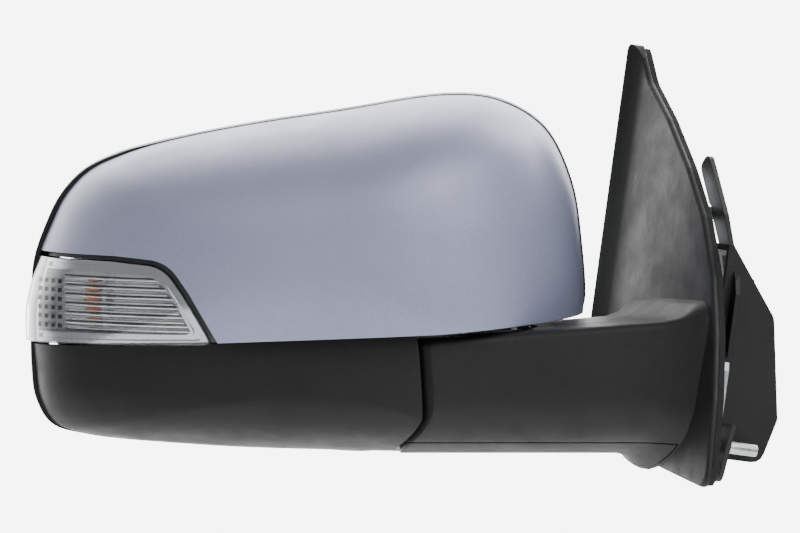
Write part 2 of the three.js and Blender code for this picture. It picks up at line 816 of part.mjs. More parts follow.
piece(
  pivot,
  "clutch_gear",
  slab(gearOutline(CLUTCH_TEETH, FOLD_MODULE), ...GEAR_Z, circle(POST_RADIUS + GAP, 24)),
  finish.steel,
);
const WASHER = 1.6;
const SPRING_Z = [GEAR_Z[1] + 2 * GAP + WASHER, 84];
const WIRE = 1.3;
const SPRING_RADIUS = POST_RADIUS + 2.6;
const TURNS = 5;
const ringAround = (inner, outer, z0, z1, sides = 24) =>
  turned([
    [inner, z0],
    [outer, z0],
    [outer, z1],
    [inner, z1],
  ], sides);
piece(
  pivot,
  "thrust_washer",
  ringAround(POST_RADIUS + GAP, POST_RADIUS + 5.5, GEAR_Z[1] + GAP, GEAR_Z[1] + GAP + WASHER),
  finish.steel,
);
const coil = Array.from({ length: TURNS * 8 + 1 }, (_, i) => {
  const angle = (2 * Math.PI * i) / 8;
  const share = i / (TURNS * 8);
  const z = SPRING_Z[0] + WIRE + GAP + (SPRING_Z[1] - SPRING_Z[0] - 2 * WIRE - 2 * GAP) * share;
  return [SPRING_RADIUS * Math.cos(angle), SPRING_RADIUS * Math.sin(angle), z];
});
piece(pivot, "fold_spring", lead(coil, WIRE, TURNS * 10), finish.steel);
piece(
  pivot,
  "retaining_clip",
  cut(
    ringAround(POST_RADIUS + GAP, POST_RADIUS + 5, SPRING_Z[1] + GAP, SPRING_Z[1] + GAP + 2),
    box([POST_RADIUS - 2, POST_RADIUS + 10], [-3, 3], [SPRING_Z[1], SPRING_Z[1] + 4]),
  ),
  finish.steel,
);

// ---------------------------------------------------------------- base: arm and sail
const fromDoor = (body) => carried(body, doorAxes);
const toBase = (body) => carried(carried(body, tiltMatrix), headMatrix);
const outboardOf = (z) => fromDoor(box([-FAR, FAR], [-FAR, FAR], [-FAR, z]));

// Arm's section, in Y and Z: upright sides that roll under to a flat belly.
function armSection(depth) {
  const half = ARM_HALF_DEPTH - depth;
  const belly = LOWER_CENTRE[1] - ARM_BOTTOM + 2 - depth;
  const arc = Array.from({ length: 9 }, (_, i) => {
    const angle = (Math.PI / 2) * (i / 8);
    const reach = RIM_Y - depth - (RIM_Y - 2 * depth + half) * Math.cos(angle) ** (2 / 3);
    return [Math.min(reach, 0), LOWER_CENTRE[1] - belly * Math.sin(angle) ** (2 / 3)];
  }).filter(([y]) => y < -2);
  const mirrored = arc.toReversed().map(([y, z]) => [-y, z]);
  return [[-half, 80], ...arc, ...mirrored, [half, 80]];
}
const alongX = new THREE.Matrix4().makeBasis(
  new THREE.Vector3(0, 1, 0),
  new THREE.Vector3(0, 0, 1),
  new THREE.Vector3(1, 0, 0),
);
const ARM_LEVEL = ARM_TOP * Math.cos(rad(FOLD_TILT)); // arm's top, along the fold axis
function armBody(depth) {
  const bodyLine = carried(slab(armSection(depth), -200, 60), alongX);
  const end = join(
    bar(SEAM_RADIUS - depth, [0, 0, -90], [0, 0, ARM_LEVEL - depth], 48),
    box([0, 200], [-90, 90], [-90, ARM_LEVEL - depth]),
  );
  return common(bodyLine, toBase(end));
}

// Sail's outline on the door: X rearwards, Y up.
const sailCorners = [
    [79, -23, 6],
    [79, 169, 3],
    [60, 149, 20],
    [32, 132.5, 20],
    [1, 110, 20],
    [-24, 88, 20],
    [-45.5, 60, 20],
    [-58, 32, 20],
    [-66, 2, 20],
    [-71.5, -41.5, 8],
];
const sail = (depth, z0, z1) => slab(offset(sailCorners, depth, 3), z0, z1);
const SAIL_SKIN = 2.2;
const GASKET_WIDTH = 6;
const FLARE = 5; // rear edge of the sail stands out this much further
const flare = common(
  wall(
    [
      [71, 0.5 - SAIL_OFFSET],
      [71, -SAIL_OFFSET],
      [79, -SAIL_OFFSET - FLARE],
      [79, 0.5 - SAIL_OFFSET],
    ],
    -60,
    200,
  ),
  sail(0, -40, 0),
);
const sailTray = cut(
  join(sail(0, -SAIL_OFFSET, -GASKET - GAP), flare),
  sail(SAIL_SKIN, SAIL_SKIN - SAIL_OFFSET, 0),
);
const PARTING = -20.6; // under cover of the arm lies below this height
const belowParting = (lift) => box([-FAR, FAR], [-FAR, FAR], [-FAR, PARTING + lift]);
const TOP_HOLE = 23;
piece(
  root,
  "sail_cover",
  cut(
    join(common(armBody(0), outboardOf(-SAIL_OFFSET + 1)), fromDoor(sailTray)),
    common(armBody(WALL), outboardOf(-GASKET + 1)),
    common(belowParting(0), outboardOf(-SAIL_OFFSET - GAP)),
    toBase(post(TOP_HOLE, 20, 60, 28)),
  ),
  finish.black,
);
piece(
  root,
  "arm_under_cover",
  cut(
    common(armBody(0), belowParting(-GAP), outboardOf(-SAIL_OFFSET - 2 * GAP)),
    common(armBody(WALL), belowParting(5)),
  ),
  finish.black,
);
piece(
  door,
  "sail_gasket",
  cut(sail(0.6, -GASKET, 0), sail(0.6 + GASKET_WIDTH, -GASKET - 1, 1)),
  finish.foam,
);

// Cast base: a plate with pads that seat on the door, and a beam out to the fold axis.
const studs = {
  upper: [-5, 90],
  rear: [56, 20],
  front: [-52, -20],
};
const plateOutline = rounded([
  [66, -16, 8],
  [66, 100, 10],
  [20, 112, 10],
  [-8, 96, 8],
  [-37, 54, 10],
  [-52, 20, 8],
  [-60, -28, 8],
]);
const PAD_SIZE = [16, 11];
const HARNESS = 2.8;
const harnessHole = bar(HARNESS + 1.6, [2, -18, -40], [2, -18, 20], 16);
const CAST_TOP = -GAP - 0.2;
const insideGasket = sail(GASKET_WIDTH + 1, -20, 14);
const plate = cut(
  common(insideGasket, join(
    slab(plateOutline, CAST_TOP - 3, CAST_TOP),
    box([-PAD_SIZE[0], PAD_SIZE[0]], [-PAD_SIZE[1], PAD_SIZE[1]], [CAST_TOP - 1, 0]),
    ...Object.values(studs).map(([x, y]) => slab(circle(8, 24, x, y), CAST_TOP - 1, 0)),
    box([-55, -44], [-10, 20], [CAST_TOP - 1, 5.2]),
  )),
  harnessHole,
  ...Object.values(studs).map(([x, y]) => bar(STUD_RADIUS + GAP, [x, y, -20], [x, y, 20], 14)),
  slab(rounded([[20, 34, 5], [54, 36, 5], [54, 88, 5], [22, 90, 5]]), -10, 5),
);
const BEAM = 20;
const beam = cut(
  common(
    join(box([0, 130], [-BEAM, BEAM], [-13, 22]), post(25, -13, DETENT_Z - 5 - GAP, 28)),
    post(120, -40, DETENT_Z - 5 - GAP),
  ),
  post(POST_RADIUS + GAP, -40, 60),
  box([-6, 130], [-5, 5], [-40, -7]),
  box([-6, 18], [-5, 5], [-40, 2]),
);
piece(
  root,
  "base_frame",
  join(
    cut(common(toBase(beam), outboardOf(CAST_TOP), armBody(WALL + GAP)), fromDoor(harnessHole)),
    fromDoor(plate),
  ),
  finish.cast,
);
for (const [name, [x, y]] of Object.entries(studs)) {
  piece(door, "stud_" + name, bar(STUD_RADIUS, [x, y, CAST_TOP - 2.6], [x, y, name === "upper" ? 9 : 26], 14), finish.steel);
}

// Inner bracket: a box open to the door and to the rear, with a flange along the sail's front edge.
const BRACKET = [-44, 14]; // its extent along the door
const PANEL = 2.6;
const FLANGE_Z = 1.6;
const bracketOutside = rounded([
  [6.5, -26, 0],
  [BRACKET_DEPTH - 5, -26, 7],
  [BRACKET_DEPTH + 1, -4, 3],
  [BRACKET_DEPTH - 8, 44, 7],
  [4, 76, 0],
  [FLANGE_Z, 76, 0],
  [FLANGE_Z, 24, 0],
  [6.5, 20, 0],
]);
const bracketInside = rounded([
  [-5, PANEL - 26, 0],
  [BRACKET_DEPTH - 5 - PANEL, PANEL - 26, 5],
  [BRACKET_DEPTH + 1 - PANEL, -4, 3],
  [BRACKET_DEPTH - 8 - PANEL, 44 - PANEL / 2, 5],
  [3.5, 73, 0],
  [-5, 73, 0],
]);
// An outline in Z and Y of the door frame, as long as from x0 to x1.
const acrossDoor = new THREE.Matrix4().makeBasis(
  new THREE.Vector3(0, 0, 1),
  new THREE.Vector3(0, 1, 0),
  new THREE.Vector3(-1, 0, 0),
);
const bracketBox = (profile, x0, x1) => carried(slab(profile, -x1, -x0), acrossDoor);
const SOCKET = { x: [-9, 9], y: [46, 61], z: [21, 33] };
const grown = ({ x, y, z }, by) => box([x[0] - by, x[1] + by], [y[0] - by, y[1] + by], [z[0] - by, z[1] + by]);
const flangeOutline = rounded([
  [-58, -37, 5],
  [-46, -37, 5],
  [-40, -20, 4],
  [-40, 50, 4],
  [-26, 72, 4],
  [12, 112, 4],
  [4, 118, 4],
  [-24, 90, 8],
  [-47, 60, 8],
  [-58, 34, 8],
  [-66, -8, 6],
]);
const bracketShell = cut(
  bracketBox(bracketOutside, ...BRACKET),
  bracketBox(bracketInside, BRACKET[0] + PANEL, BRACKET[1] + 5),
  box([BRACKET[0] + PANEL, 100], [-26 + PANEL, 60], [-5, 12]),
);
piece(
  door,
  "mount_bracket",
  cut(
    join(bracketShell, cut(slab(flangeOutline, 5.6, 8.2), box([-70, BRACKET[0] - 6], [-9, 60], [0, 20]))),
    grown(SOCKET, GAP),
    ...Object.values(studs).map(([x, y]) => bar(STUD_RADIUS + 1, [x, y, 0], [x, y, 60], 14)),
  ),
  finish.dark,
);
piece(
  door,
  "harness_connector",
  cut(
    join(grown(SOCKET, 0), box([-6, 6], [SOCKET.y[0] + 2, SOCKET.y[1] + 3], [SOCKET.z[0] + 3, SOCKET.z[1] - 3])),
    box([-7, 7], [SOCKET.y[0] + 2, SOCKET.y[1] - 2], [SOCKET.z[0] + 4, SOCKET.z[1] + 1]),
  ),
  finish.connector,
);

// ---------------------------------------------------------------- frame of the head, screws and leads
const FRAME_Y = [-10, -6.5];
const LUG_Y = [FRAME_Y[1] + GAP, FRAME_Y[1] + 7];
const frameOutline = rounded([
  [PINION_X - podRadius - 3, 44, 4],
  [PINION_X - podRadius - 3, 100, 4],
  [-70, 122, 10],
  [-HEAD_OUT * 0.56, 112, 10],
  [-HEAD_OUT * 0.64, 92, 10],
  [-HEAD_OUT * 0.6, 30, 10],
  [-HEAD_OUT * 0.6, -8, 6],
  [-70, -10, 6],
  [-62, 36, 6],
]);
const SCREW = 1.8;
const SCREW_HEAD = 3.4;
const frameScrews = {
  actuator: [
    [-SWIVEL_OUT - 26, SWIVEL_UP + 16],
    [-SWIVEL_OUT + 28, SWIVEL_UP - 10],
    [-SWIVEL_OUT - 10, SWIVEL_UP - 28],
  ],
  fold_unit: [
    [-58, 50],
    [-58, 90],
  ],
};
const allScrews = Object.values(frameScrews).flat();
const through = (radius, y0, y1) => allScrews.map(([x, z]) => bar(radius, [x, y0, z], [x, y1, z], 14));
const caseFace = SWIVEL_Y + CASE_FRONT;
piece(
  head,
  "head_frame",
  cut(
    join(
      wall(frameOutline, ...FRAME_Y),
      cut(
        bar(CASE_RADIUS + 4, [-SWIVEL_OUT, FRAME_Y[0], SWIVEL_UP], [-SWIVEL_OUT, caseFace + 6, SWIVEL_UP], 28),
        bar(CASE_RADIUS + GAP, [-SWIVEL_OUT, FRAME_Y[0] - 1, SWIVEL_UP], [-SWIVEL_OUT, 40, SWIVEL_UP], 28),
      ),
    ),
    ...through(SCREW + GAP, -20, 0),
    wall(rounded([[-85, 4, 4], [-120, 4, 4], [-118, -1, 2], [-88, -1, 2]]), -20, 0),
  ),
  finish.dark,
);
for (const [unit, places] of Object.entries(frameScrews)) {
  places.forEach(([x, z], i) => {
    const tip = unit === "actuator" ? caseFace - GAP : LUG_Y[0] + 4;
    piece(
      head,
      `${unit}_screw_${i + 1}`,
      join(bar(SCREW, [x, FRAME_Y[0] - 1, z], [x, tip, z], 12), bar(SCREW_HEAD, [x, FRAME_Y[0] - 3, z], [x, FRAME_Y[0] - GAP, z], 12)),
      finish.steel,
    );
  });
}

// Leads: one fixed in the base, from the connector through the hollow post, and one that rides in the head.
const baseFrame = new THREE.Vector3();
const onAxis = (z) => new THREE.Vector3(0, 0, z).applyMatrix4(tiltMatrix).applyMatrix4(headMatrix).toArray();
const onDoor = (x, y, z) => baseFrame.set(x, y, z).applyMatrix4(doorAxes).toArray();
piece(
  root,
  "base_harness",
  lead(
    [
      onAxis(POST_TOP - 4),
      onAxis(60),
      onAxis(20),
      onAxis(0),
      [PIVOT_X + 6, 0, -11],
      [PIVOT_X + 20, 0, -16.5],
      [-40, 0, -17.5],
      onDoor(2, -17.5, -14),
      onDoor(2, -18, -4),
      onDoor(2, -16, 9),
      onDoor(2, -2, 17),
      onDoor(1, 20, 17),
      onDoor(0, 34, 18),
      onDoor(0, SOCKET.y[0] - 1.2, SOCKET.z[0] + HARNESS - 1),
    ],
    HARNESS,
    48,
  ),
  finish.foam,
);
piece(
  head,
  "head_harness",
  lead(
    [
      [-8, 2, POST_TOP + 12],
      [-22, -6, POST_TOP + 18],
      [-45, -16, POST_TOP + 12],
      [out(0.33), -16, up(0.61)],
      [out(0.545), -15, up(0.61)],
      [out(0.69), -7, up(0.57)],
      [BULB[0] + 26, 14, 82],
      [BULB[0] + 18, LAMP_BACK + HARNESS, 68],
      [BULB[0] + 17, LAMP_BACK + HARNESS, BULB[1] + 6],
      [BULB[0] + SOCKET_RADIUS + 2 * GAP, LAMP_BACK + HARNESS, BULB[1]],
    ],
    HARNESS - 0.6,
    36,
  ),
  finish.foam,
);

export default root;
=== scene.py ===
# %% [markdown]
# # A power-folding door mirror
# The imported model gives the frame: every moving part, its place and its joints. This lesson adds the looks, with
# smooth moulded covers in place of the faceted ones, a ribbed lamp, and a finish for every piece.
# Shapes are drawn in millimetres, with +X towards the car, +Y rearwards and +Z up, and are stored in metres.

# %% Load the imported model
import json
import math
import bpy
from mathutils import Matrix, Vector


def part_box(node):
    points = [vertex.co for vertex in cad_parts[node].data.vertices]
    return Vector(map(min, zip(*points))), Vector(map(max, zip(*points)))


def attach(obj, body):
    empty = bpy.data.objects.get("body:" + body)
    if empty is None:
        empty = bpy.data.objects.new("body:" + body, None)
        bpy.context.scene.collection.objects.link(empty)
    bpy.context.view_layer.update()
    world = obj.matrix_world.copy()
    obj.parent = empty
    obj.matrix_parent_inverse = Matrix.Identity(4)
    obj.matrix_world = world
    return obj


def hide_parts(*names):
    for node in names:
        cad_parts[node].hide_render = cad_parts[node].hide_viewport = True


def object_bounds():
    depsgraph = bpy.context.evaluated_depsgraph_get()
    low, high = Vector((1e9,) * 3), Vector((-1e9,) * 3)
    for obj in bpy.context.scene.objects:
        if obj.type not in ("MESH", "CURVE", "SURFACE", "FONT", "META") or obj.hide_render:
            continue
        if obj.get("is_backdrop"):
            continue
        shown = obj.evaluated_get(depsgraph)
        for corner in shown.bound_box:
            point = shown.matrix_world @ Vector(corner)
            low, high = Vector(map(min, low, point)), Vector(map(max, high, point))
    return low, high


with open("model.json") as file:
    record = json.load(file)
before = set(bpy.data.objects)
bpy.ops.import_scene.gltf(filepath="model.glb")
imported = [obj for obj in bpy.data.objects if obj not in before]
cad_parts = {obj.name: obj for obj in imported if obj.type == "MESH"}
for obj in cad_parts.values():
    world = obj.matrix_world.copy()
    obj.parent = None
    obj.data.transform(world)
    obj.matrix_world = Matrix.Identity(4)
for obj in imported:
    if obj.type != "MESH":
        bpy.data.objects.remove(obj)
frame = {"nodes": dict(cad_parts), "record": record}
cad_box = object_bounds()

# %% [markdown]
# ## Two places to draw from
# The head turns on the arm about a fold axis that leans a little, and the sail seats on a door skin that leans
# inwards. Each gets a matrix, so that its pieces can be drawn square and then put in place. The fold axis comes
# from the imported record, so that the looks turn about the same line as the model.

# %% Frames and sizes
joints = {joint["name"]: joint for joint in frame["record"]["behaviour"]["joints"]}
fold = joints["fold"]
PIVOT = Vector(fold["pos_m"]) * 1000
TILT = math.atan2(fold["axis"][0], -fold["axis"][2])
RISE = math.tan(TILT)
DOOR_PLAN = math.radians(23)
DOOR_LEAN = math.radians(8.5)
HEAD_OUT = 229
HEAD_IN = 43
HEAD_TOP = 143.5
RIM_Y = 54
SPLIT_Y = 34
ARM_TOP = 32
ARM_BOTTOM = -28.6
ARM_HALF_DEPTH = 38
SEAM_RADIUS = 48
SHOW_GAP = 2
GAP = 0.4
WALL = 2.5
FAR = 400

head = Matrix.Translation(PIVOT)
pivot = head @ Matrix.Rotation(-TILT, 4, "Y")
door_rear = Vector((-math.sin(DOOR_PLAN), math.cos(DOOR_PLAN), 0))
door_in = Vector((math.cos(DOOR_LEAN) * math.cos(DOOR_PLAN),
                  math.cos(DOOR_LEAN) * math.sin(DOOR_PLAN), -math.sin(DOOR_LEAN)))
door = Matrix((door_rear, door_in.cross(door_rear), door_in)).transposed().to_4x4()
print(f"head {HEAD_OUT + HEAD_IN:.0f} mm wide, axis leans {math.degrees(TILT):.1f} degrees")

# %% [markdown]
# ## Outlines
# A moulded cover has few real corners. Its outline is a closed smooth curve through the places that a designer
# would pin down. A centripetal curve never overshoots between close points, and even steps along it give the
# sheets that hang on it quads of one size.

# %% Curves
def smooth(points, count):
    """A closed centripetal curve through the points, in even steps."""
    knots = [Vector(p) for p in points]
    fine = []
    for i in range(len(knots)):
        p0, p1, p2, p3 = (knots[(i + k) % len(knots)] for k in (-1, 0, 1, 2))
        t1 = (p1 - p0).length ** 0.5
        t2 = t1 + (p2 - p1).length ** 0.5
        t3 = t2 + (p3 - p2).length ** 0.5
        for k in range(40):
            t = t1 + (t2 - t1) * k / 40
            a1 = p0.lerp(p1, t / t1)
            a2 = p1.lerp(p2, (t - t1) / (t2 - t1))
            a3 = p2.lerp(p3, (t - t2) / (t3 - t2))
            fine.append(a1.lerp(a2, t / t2).lerp(a2.lerp(a3, (t - t1) / (t3 - t1)), (t - t1) / (t2 - t1)))
    return even(fine, count)


def even(points, count):
    """A closed line of points, spaced out evenly."""
    ends = points[1:] + points[:1]
    lengths = [(b - a).length for a, b in zip(points, ends)]
    step = sum(lengths) / count
    result, index, passed = [], 0, 0.0
    for k in range(count):
        while passed + lengths[index] < step * k:
            passed += lengths[index]
            index += 1
        result.append(points[index].lerp(ends[index], (step * k - passed) / lengths[index]))
    return result


def turning(points):
    """1 for a line that runs anticlockwise, -1 for clockwise."""
    pairs = zip(points, list(points[1:]) + [points[0]])
    return 1 if sum(a[0] * b[1] - b[0] * a[1] for a, b in pairs) > 0 else -1


def inset(points, distance):
    """A closed line, moved inwards point by point."""
    turn = turning(points)
    moved = []
    for i, point in enumerate(points):
        along = (points[(i + 1) % len(points)] - points[i - 1]).normalized()
        moved.append(point + Vector((-along.y, along.x)) * turn * distance)
    return moved


def rounded(corners, distance=0, steps=10):
    """Corners given as x, y, radius: the polygon is moved inwards by a distance, its corners rounded."""
    turn = turning(corners)
    places = [Vector(corner[:2]) for corner in corners]
    ends = places[1:] + places[:1]
    moved = []
    for i, place in enumerate(places):
        before = (place - places[i - 1]).normalized()
        after = (ends[i] - place).normalized()
        bisector = (Vector((-before.y, before.x)) + Vector((-after.y, after.x))).normalized()
        moved.append(place + bisector * turn * distance / bisector.dot(Vector((-before.y, before.x))))
    result = []
    for i, corner in enumerate(moved):
        radius = corners[i][2]
        before = moved[i - 1] - corner
        after = moved[(i + 1) % len(moved)] - corner
        if radius == 0:
            result.append(corner)
            continue
        back = min(radius / math.tan(before.angle(after) / 2), before.length * 0.48, after.length * 0.48)
        start = corner + before.normalized() * back
        end = corner + after.normalized() * back
        for k in range(steps + 1):
            t = k / steps
            result.append(start.lerp(corner, t).lerp(corner.lerp(end, t), t))
    return result


def circle(radius, count=96, middle=(0, 0)):
    turns = [2 * math.pi * k / count for k in range(count)]
    return [Vector((middle[0] + radius * math.cos(a), middle[1] + radius * math.sin(a))) for a in turns]


def rectangle(x0, x1, y0, y1):
    return [Vector((x0, y0)), Vector((x1, y0)), Vector((x1, y1)), Vector((x0, y1))]


print("curve test:", len(smooth(circle(10, 6), 50)), "even points")

# %% [markdown]
# ## Sheets and solids
# A curved sheet starts as a grid primitive whose points are then moved to where a formula puts them. Its seam is
# merged and its ends are filled, which makes a closed solid of clean quads. Closed solids can be cut and joined
# with the Boolean modifier, just as a toolmaker cuts a split line or a lamp opening into a cover.

# %% Modelling helpers
def activate(piece):
    bpy.ops.object.select_all(action="DESELECT")
    piece.select_set(True)
    bpy.context.view_layer.objects.active = piece


def skinned(name, rings):
    """A closed solid over rings of points in millimetres, its ends filled."""
    around = len(rings[0])
    bpy.ops.object.select_all(action="DESELECT")
    bpy.ops.mesh.primitive_grid_add(x_subdivisions=around, y_subdivisions=len(rings) - 1, size=1)
    piece = bpy.context.object
    piece.name = name
    for index, vertex in enumerate(piece.data.vertices):
        row, column = divmod(index, around + 1)
        vertex.co = rings[row][column % around] / 1000
    bpy.ops.object.mode_set(mode="EDIT")
    bpy.ops.mesh.select_all(action="SELECT")
    bpy.ops.mesh.remove_doubles(threshold=1e-6)
    bpy.ops.mesh.select_all(action="DESELECT")
    bpy.ops.mesh.select_non_manifold(extend=False)
    bpy.ops.mesh.fill_holes(sides=0)
    bpy.ops.mesh.select_all(action="SELECT")
    bpy.ops.mesh.normals_make_consistent(inside=False)
    bpy.ops.object.mode_set(mode="OBJECT")
    return piece


def raised(name, place, outline, low, high):
    """A flat outline in a frame's X and Y, raised from low to high along its Z."""
    return skinned(name, [[place @ Vector((x, y, level)) for x, y in outline] for level in (low, high)])


def lathed(name, place, profile, count=64):
    """A profile of radius and height, turned about a frame's Z."""
    rings = []
    for radius, height in profile:
        rings.append([place @ p.to_3d() + place.to_3x3() @ Vector((0, 0, height))
                      for p in circle(radius, count)])
    return skinned(name, rings)


# A frame whose X and Y are the head's X and Z, and whose Z points forwards.
facing = head @ Matrix.Rotation(math.pi / 2, 4, "X")


def wall(name, outline, front, back):
    """An outline in the head's X and Z, as deep as its Y from front to back."""
    return raised(name, facing, outline, -back, -front)


def combine(operation, piece, tools):
    for tool in tools:
        activate(piece)
        modifier = piece.modifiers.new("split", "BOOLEAN")
        modifier.operation = operation
        modifier.object = tool
        bpy.ops.object.modifier_apply(modifier=modifier.name)
        bpy.data.objects.remove(tool)
    return piece


def cut(piece, *tools):
    return combine("DIFFERENCE", piece, tools)


def common(piece, *tools):
    return combine("INTERSECT", piece, tools)


def join(piece, *tools):
    return combine("UNION", piece, tools)


def copy(piece, name):
    twin = piece.copy()
    twin.data = piece.data.copy()
    twin.name = name
    bpy.context.collection.objects.link(twin)
    return twin


def softened(piece, edge, angle=35, segments=2):
    """Takes the sharpness off a piece's edges."""
    activate(piece)
    bevel = piece.modifiers.new("soft edge", "BEVEL")
    bevel.width = edge / 1000
    bevel.segments = segments
    bevel.angle_limit = math.radians(angle)
    bevel.use_clamp_overlap = False
    bpy.ops.object.modifier_apply(modifier=bevel.name)
    return piece


def finish(piece, body, slot, material, *nodes, angle=35):
    """Cleans and shades a piece, gives it its finish, and puts it on its body in place of its CAD nodes."""
    activate(piece)
    bpy.ops.object.mode_set(mode="EDIT")
    bpy.ops.mesh.select_all(action="SELECT")
    bpy.ops.mesh.remove_doubles(threshold=4e-6)
    bpy.ops.mesh.dissolve_degenerate(threshold=4e-6)
    bpy.ops.object.mode_set(mode="OBJECT")
    bpy.ops.object.shade_smooth_by_angle(angle=math.radians(angle))
    piece.data.materials.clear()
    piece.data.materials.append(material)
    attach(piece, body)
    if nodes:
        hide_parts(*nodes)
    print(f"{piece.name}: {len(piece.data.polygons)} faces")
    return piece


print("helpers ready")

# %% [markdown]
# ## A first look at the finishes
# Every finish reads Object coordinates, so its pattern stays on the piece at true scale. The patterns that several
# finishes share, such as fine grain, dust and cloudiness, are node groups, each with its own inputs. They are made
# before the pieces, so that each piece gets its finish as soon as its shape is done.

# %% Node helpers
def new_group(name, inputs, outputs):
    """An empty node group with its sockets, as (group, its input node, its output node)."""
    group = bpy.data.node_groups.new(name, "ShaderNodeTree")
    for label, kind, value in inputs:
        socket = group.interface.new_socket(label, in_out="INPUT", socket_type=kind)
        if value is not None:
            socket.default_value = value
    for label, kind in outputs:
        group.interface.new_socket(label, in_out="OUTPUT", socket_type=kind)
    return group, group.nodes.new("NodeGroupInput"), group.nodes.new("NodeGroupOutput")


def add(tree, kind, **settings):
    """A node with its settings: names of its properties, or of its inputs."""
    node = tree.nodes.new(kind)
    for key, value in settings.items():
        label = key.replace("_", " ")
        target = next((s for s in node.inputs if s.name.lower() == label.lower() and s.enabled), None)
        if hasattr(node, key):
            setattr(node, key, value)
        else:
            target.default_value = value
    return node


def blend(tree, factor, dark, light, kind="RGBA"):
    """A Mix node: dark where factor is 0, light where it is 1. Each may be a value or a socket."""
    node = tree.nodes.new("ShaderNodeMix")
    node.data_type = kind
    first = {"FLOAT": 2, "RGBA": 6}[kind]
    for index, value in ((0, factor), (first, dark), (first + 1, light)):
        if isinstance(value, bpy.types.NodeSocket):
            tree.links.new(value, node.inputs[index])
        else:
            node.inputs[index].default_value = value
    return node.outputs[{"FLOAT": 0, "RGBA": 2}[kind]]


def scaled(tree, value, low, high, to_low=0.0, to_high=1.0):
    """Maps a value from one range to another, and keeps it there."""
    node = add(tree, "ShaderNodeMapRange")
    for index, number in enumerate((low, high, to_low, to_high)):
        node.inputs[index + 1].default_value = number
    tree.links.new(value, node.inputs[0])
    return node.outputs[0]


def colour(r, g, b):
    """A screen colour from 0 to 255, as the shader wants it."""
    return tuple((c / 255 / 12.92 if c <= 10 else ((c / 255 + 0.055) / 1.055) ** 2.4)
                 for c in (r, g, b)) + (1.0,)


print("a mid grey is", [round(c, 3) for c in colour(128, 128, 128)])

# %% [markdown]
# Three patterns serve nearly everything. Grain is the even texture that moulded plastic gets from its etched
# tool. Handling is soft cloudiness, from cleaning and weather. Dust settles on faces that look up, so it reads
# the surface's own direction in the object, never the camera's.

# %% Shared patterns
def make_grain():
    group, source, sink = new_group(
        "moulded grain", [("Size", "NodeSocketFloat", 900.0)],
        [("Height", "NodeSocketFloat")])
    place = add(group, "ShaderNodeTexCoord").outputs["Object"]
    cells = add(group, "ShaderNodeTexVoronoi", feature="SMOOTH_F1")
    noise = add(group, "ShaderNodeTexNoise", detail=2.0)
    group.links.new(place, cells.inputs["Vector"])
    group.links.new(place, noise.inputs["Vector"])
    group.links.new(source.outputs["Size"], cells.inputs["Scale"])
    group.links.new(source.outputs["Size"], noise.inputs["Scale"])
    group.links.new(blend(group, 0.4, cells.outputs["Distance"], noise.outputs["Fac"], "FLOAT"),
                    sink.inputs["Height"])
    return group


def make_handling():
    group, source, sink = new_group(
        "cloudiness", [("Size", "NodeSocketFloat", 12.0)], [("Amount", "NodeSocketFloat")])
    place = add(group, "ShaderNodeTexCoord").outputs["Object"]
    noise = add(group, "ShaderNodeTexNoise", detail=5.0, roughness=0.6)
    group.links.new(place, noise.inputs["Vector"])
    group.links.new(source.outputs["Size"], noise.inputs["Scale"])
    group.links.new(scaled(group, noise.outputs["Fac"], 0.35, 0.65), sink.inputs["Amount"])
    return group


def make_dust():
    group, source, sink = new_group(
        "settled dust", [("Size", "NodeSocketFloat", 260.0)], [("Amount", "NodeSocketFloat")])
    shape = add(group, "ShaderNodeNewGeometry")
    split = add(group, "ShaderNodeSeparateXYZ")
    group.links.new(shape.outputs["Normal"], split.inputs[0])
    place = add(group, "ShaderNodeTexCoord").outputs["Object"]
    noise = add(group, "ShaderNodeTexNoise", detail=6.0, roughness=0.7)
    group.links.new(place, noise.inputs["Vector"])
    group.links.new(source.outputs["Size"], noise.inputs["Scale"])
    specks = scaled(group, noise.outputs["Fac"], 0.5, 0.75)
    product = add(group, "ShaderNodeMath", operation="MULTIPLY")
    group.links.new(scaled(group, split.outputs["Z"], 0.3, 1.0), product.inputs[0])
    group.links.new(specks, product.inputs[1])
    group.links.new(product.outputs[0], sink.inputs["Amount"])
    return group


GRAIN, CLOUD, DUST = make_grain(), make_handling(), make_dust()


def use(tree, group, size):
    """A shared pattern in a finish, at a size in cycles per metre."""
    node = tree.nodes.new("ShaderNodeGroup")
    node.node_tree = group
    node.inputs["Size"].default_value = size
    return node.outputs[0]


def new_finish(name, **constants):
    """A finish with its shader's plain numbers set, as (material, tree, shader)."""
    material = bpy.data.materials.new(name)
    material.use_nodes = True
    shader = material.node_tree.nodes["Principled BSDF"]
    for key, value in constants.items():
        shader.inputs[key.replace("_", " ")].default_value = value
    return material, material.node_tree, shader


def raise_surface(tree, shader, height, depth, edge=0):
    """A bump, and rounded edges where a radius is given, both in millimetres."""
    bump = add(tree, "ShaderNodeBump", distance=depth / 1000)
    tree.links.new(height, bump.inputs["Height"])
    tree.links.new(bump.outputs["Normal"], shader.inputs["Normal"])
    if edge:
        roll = add(tree, "ShaderNodeBevel", samples=6, radius=edge / 1000)
        tree.links.new(roll.outputs["Normal"], bump.inputs["Normal"])


print("patterns:", ", ".join(group.name for group in bpy.data.node_groups))
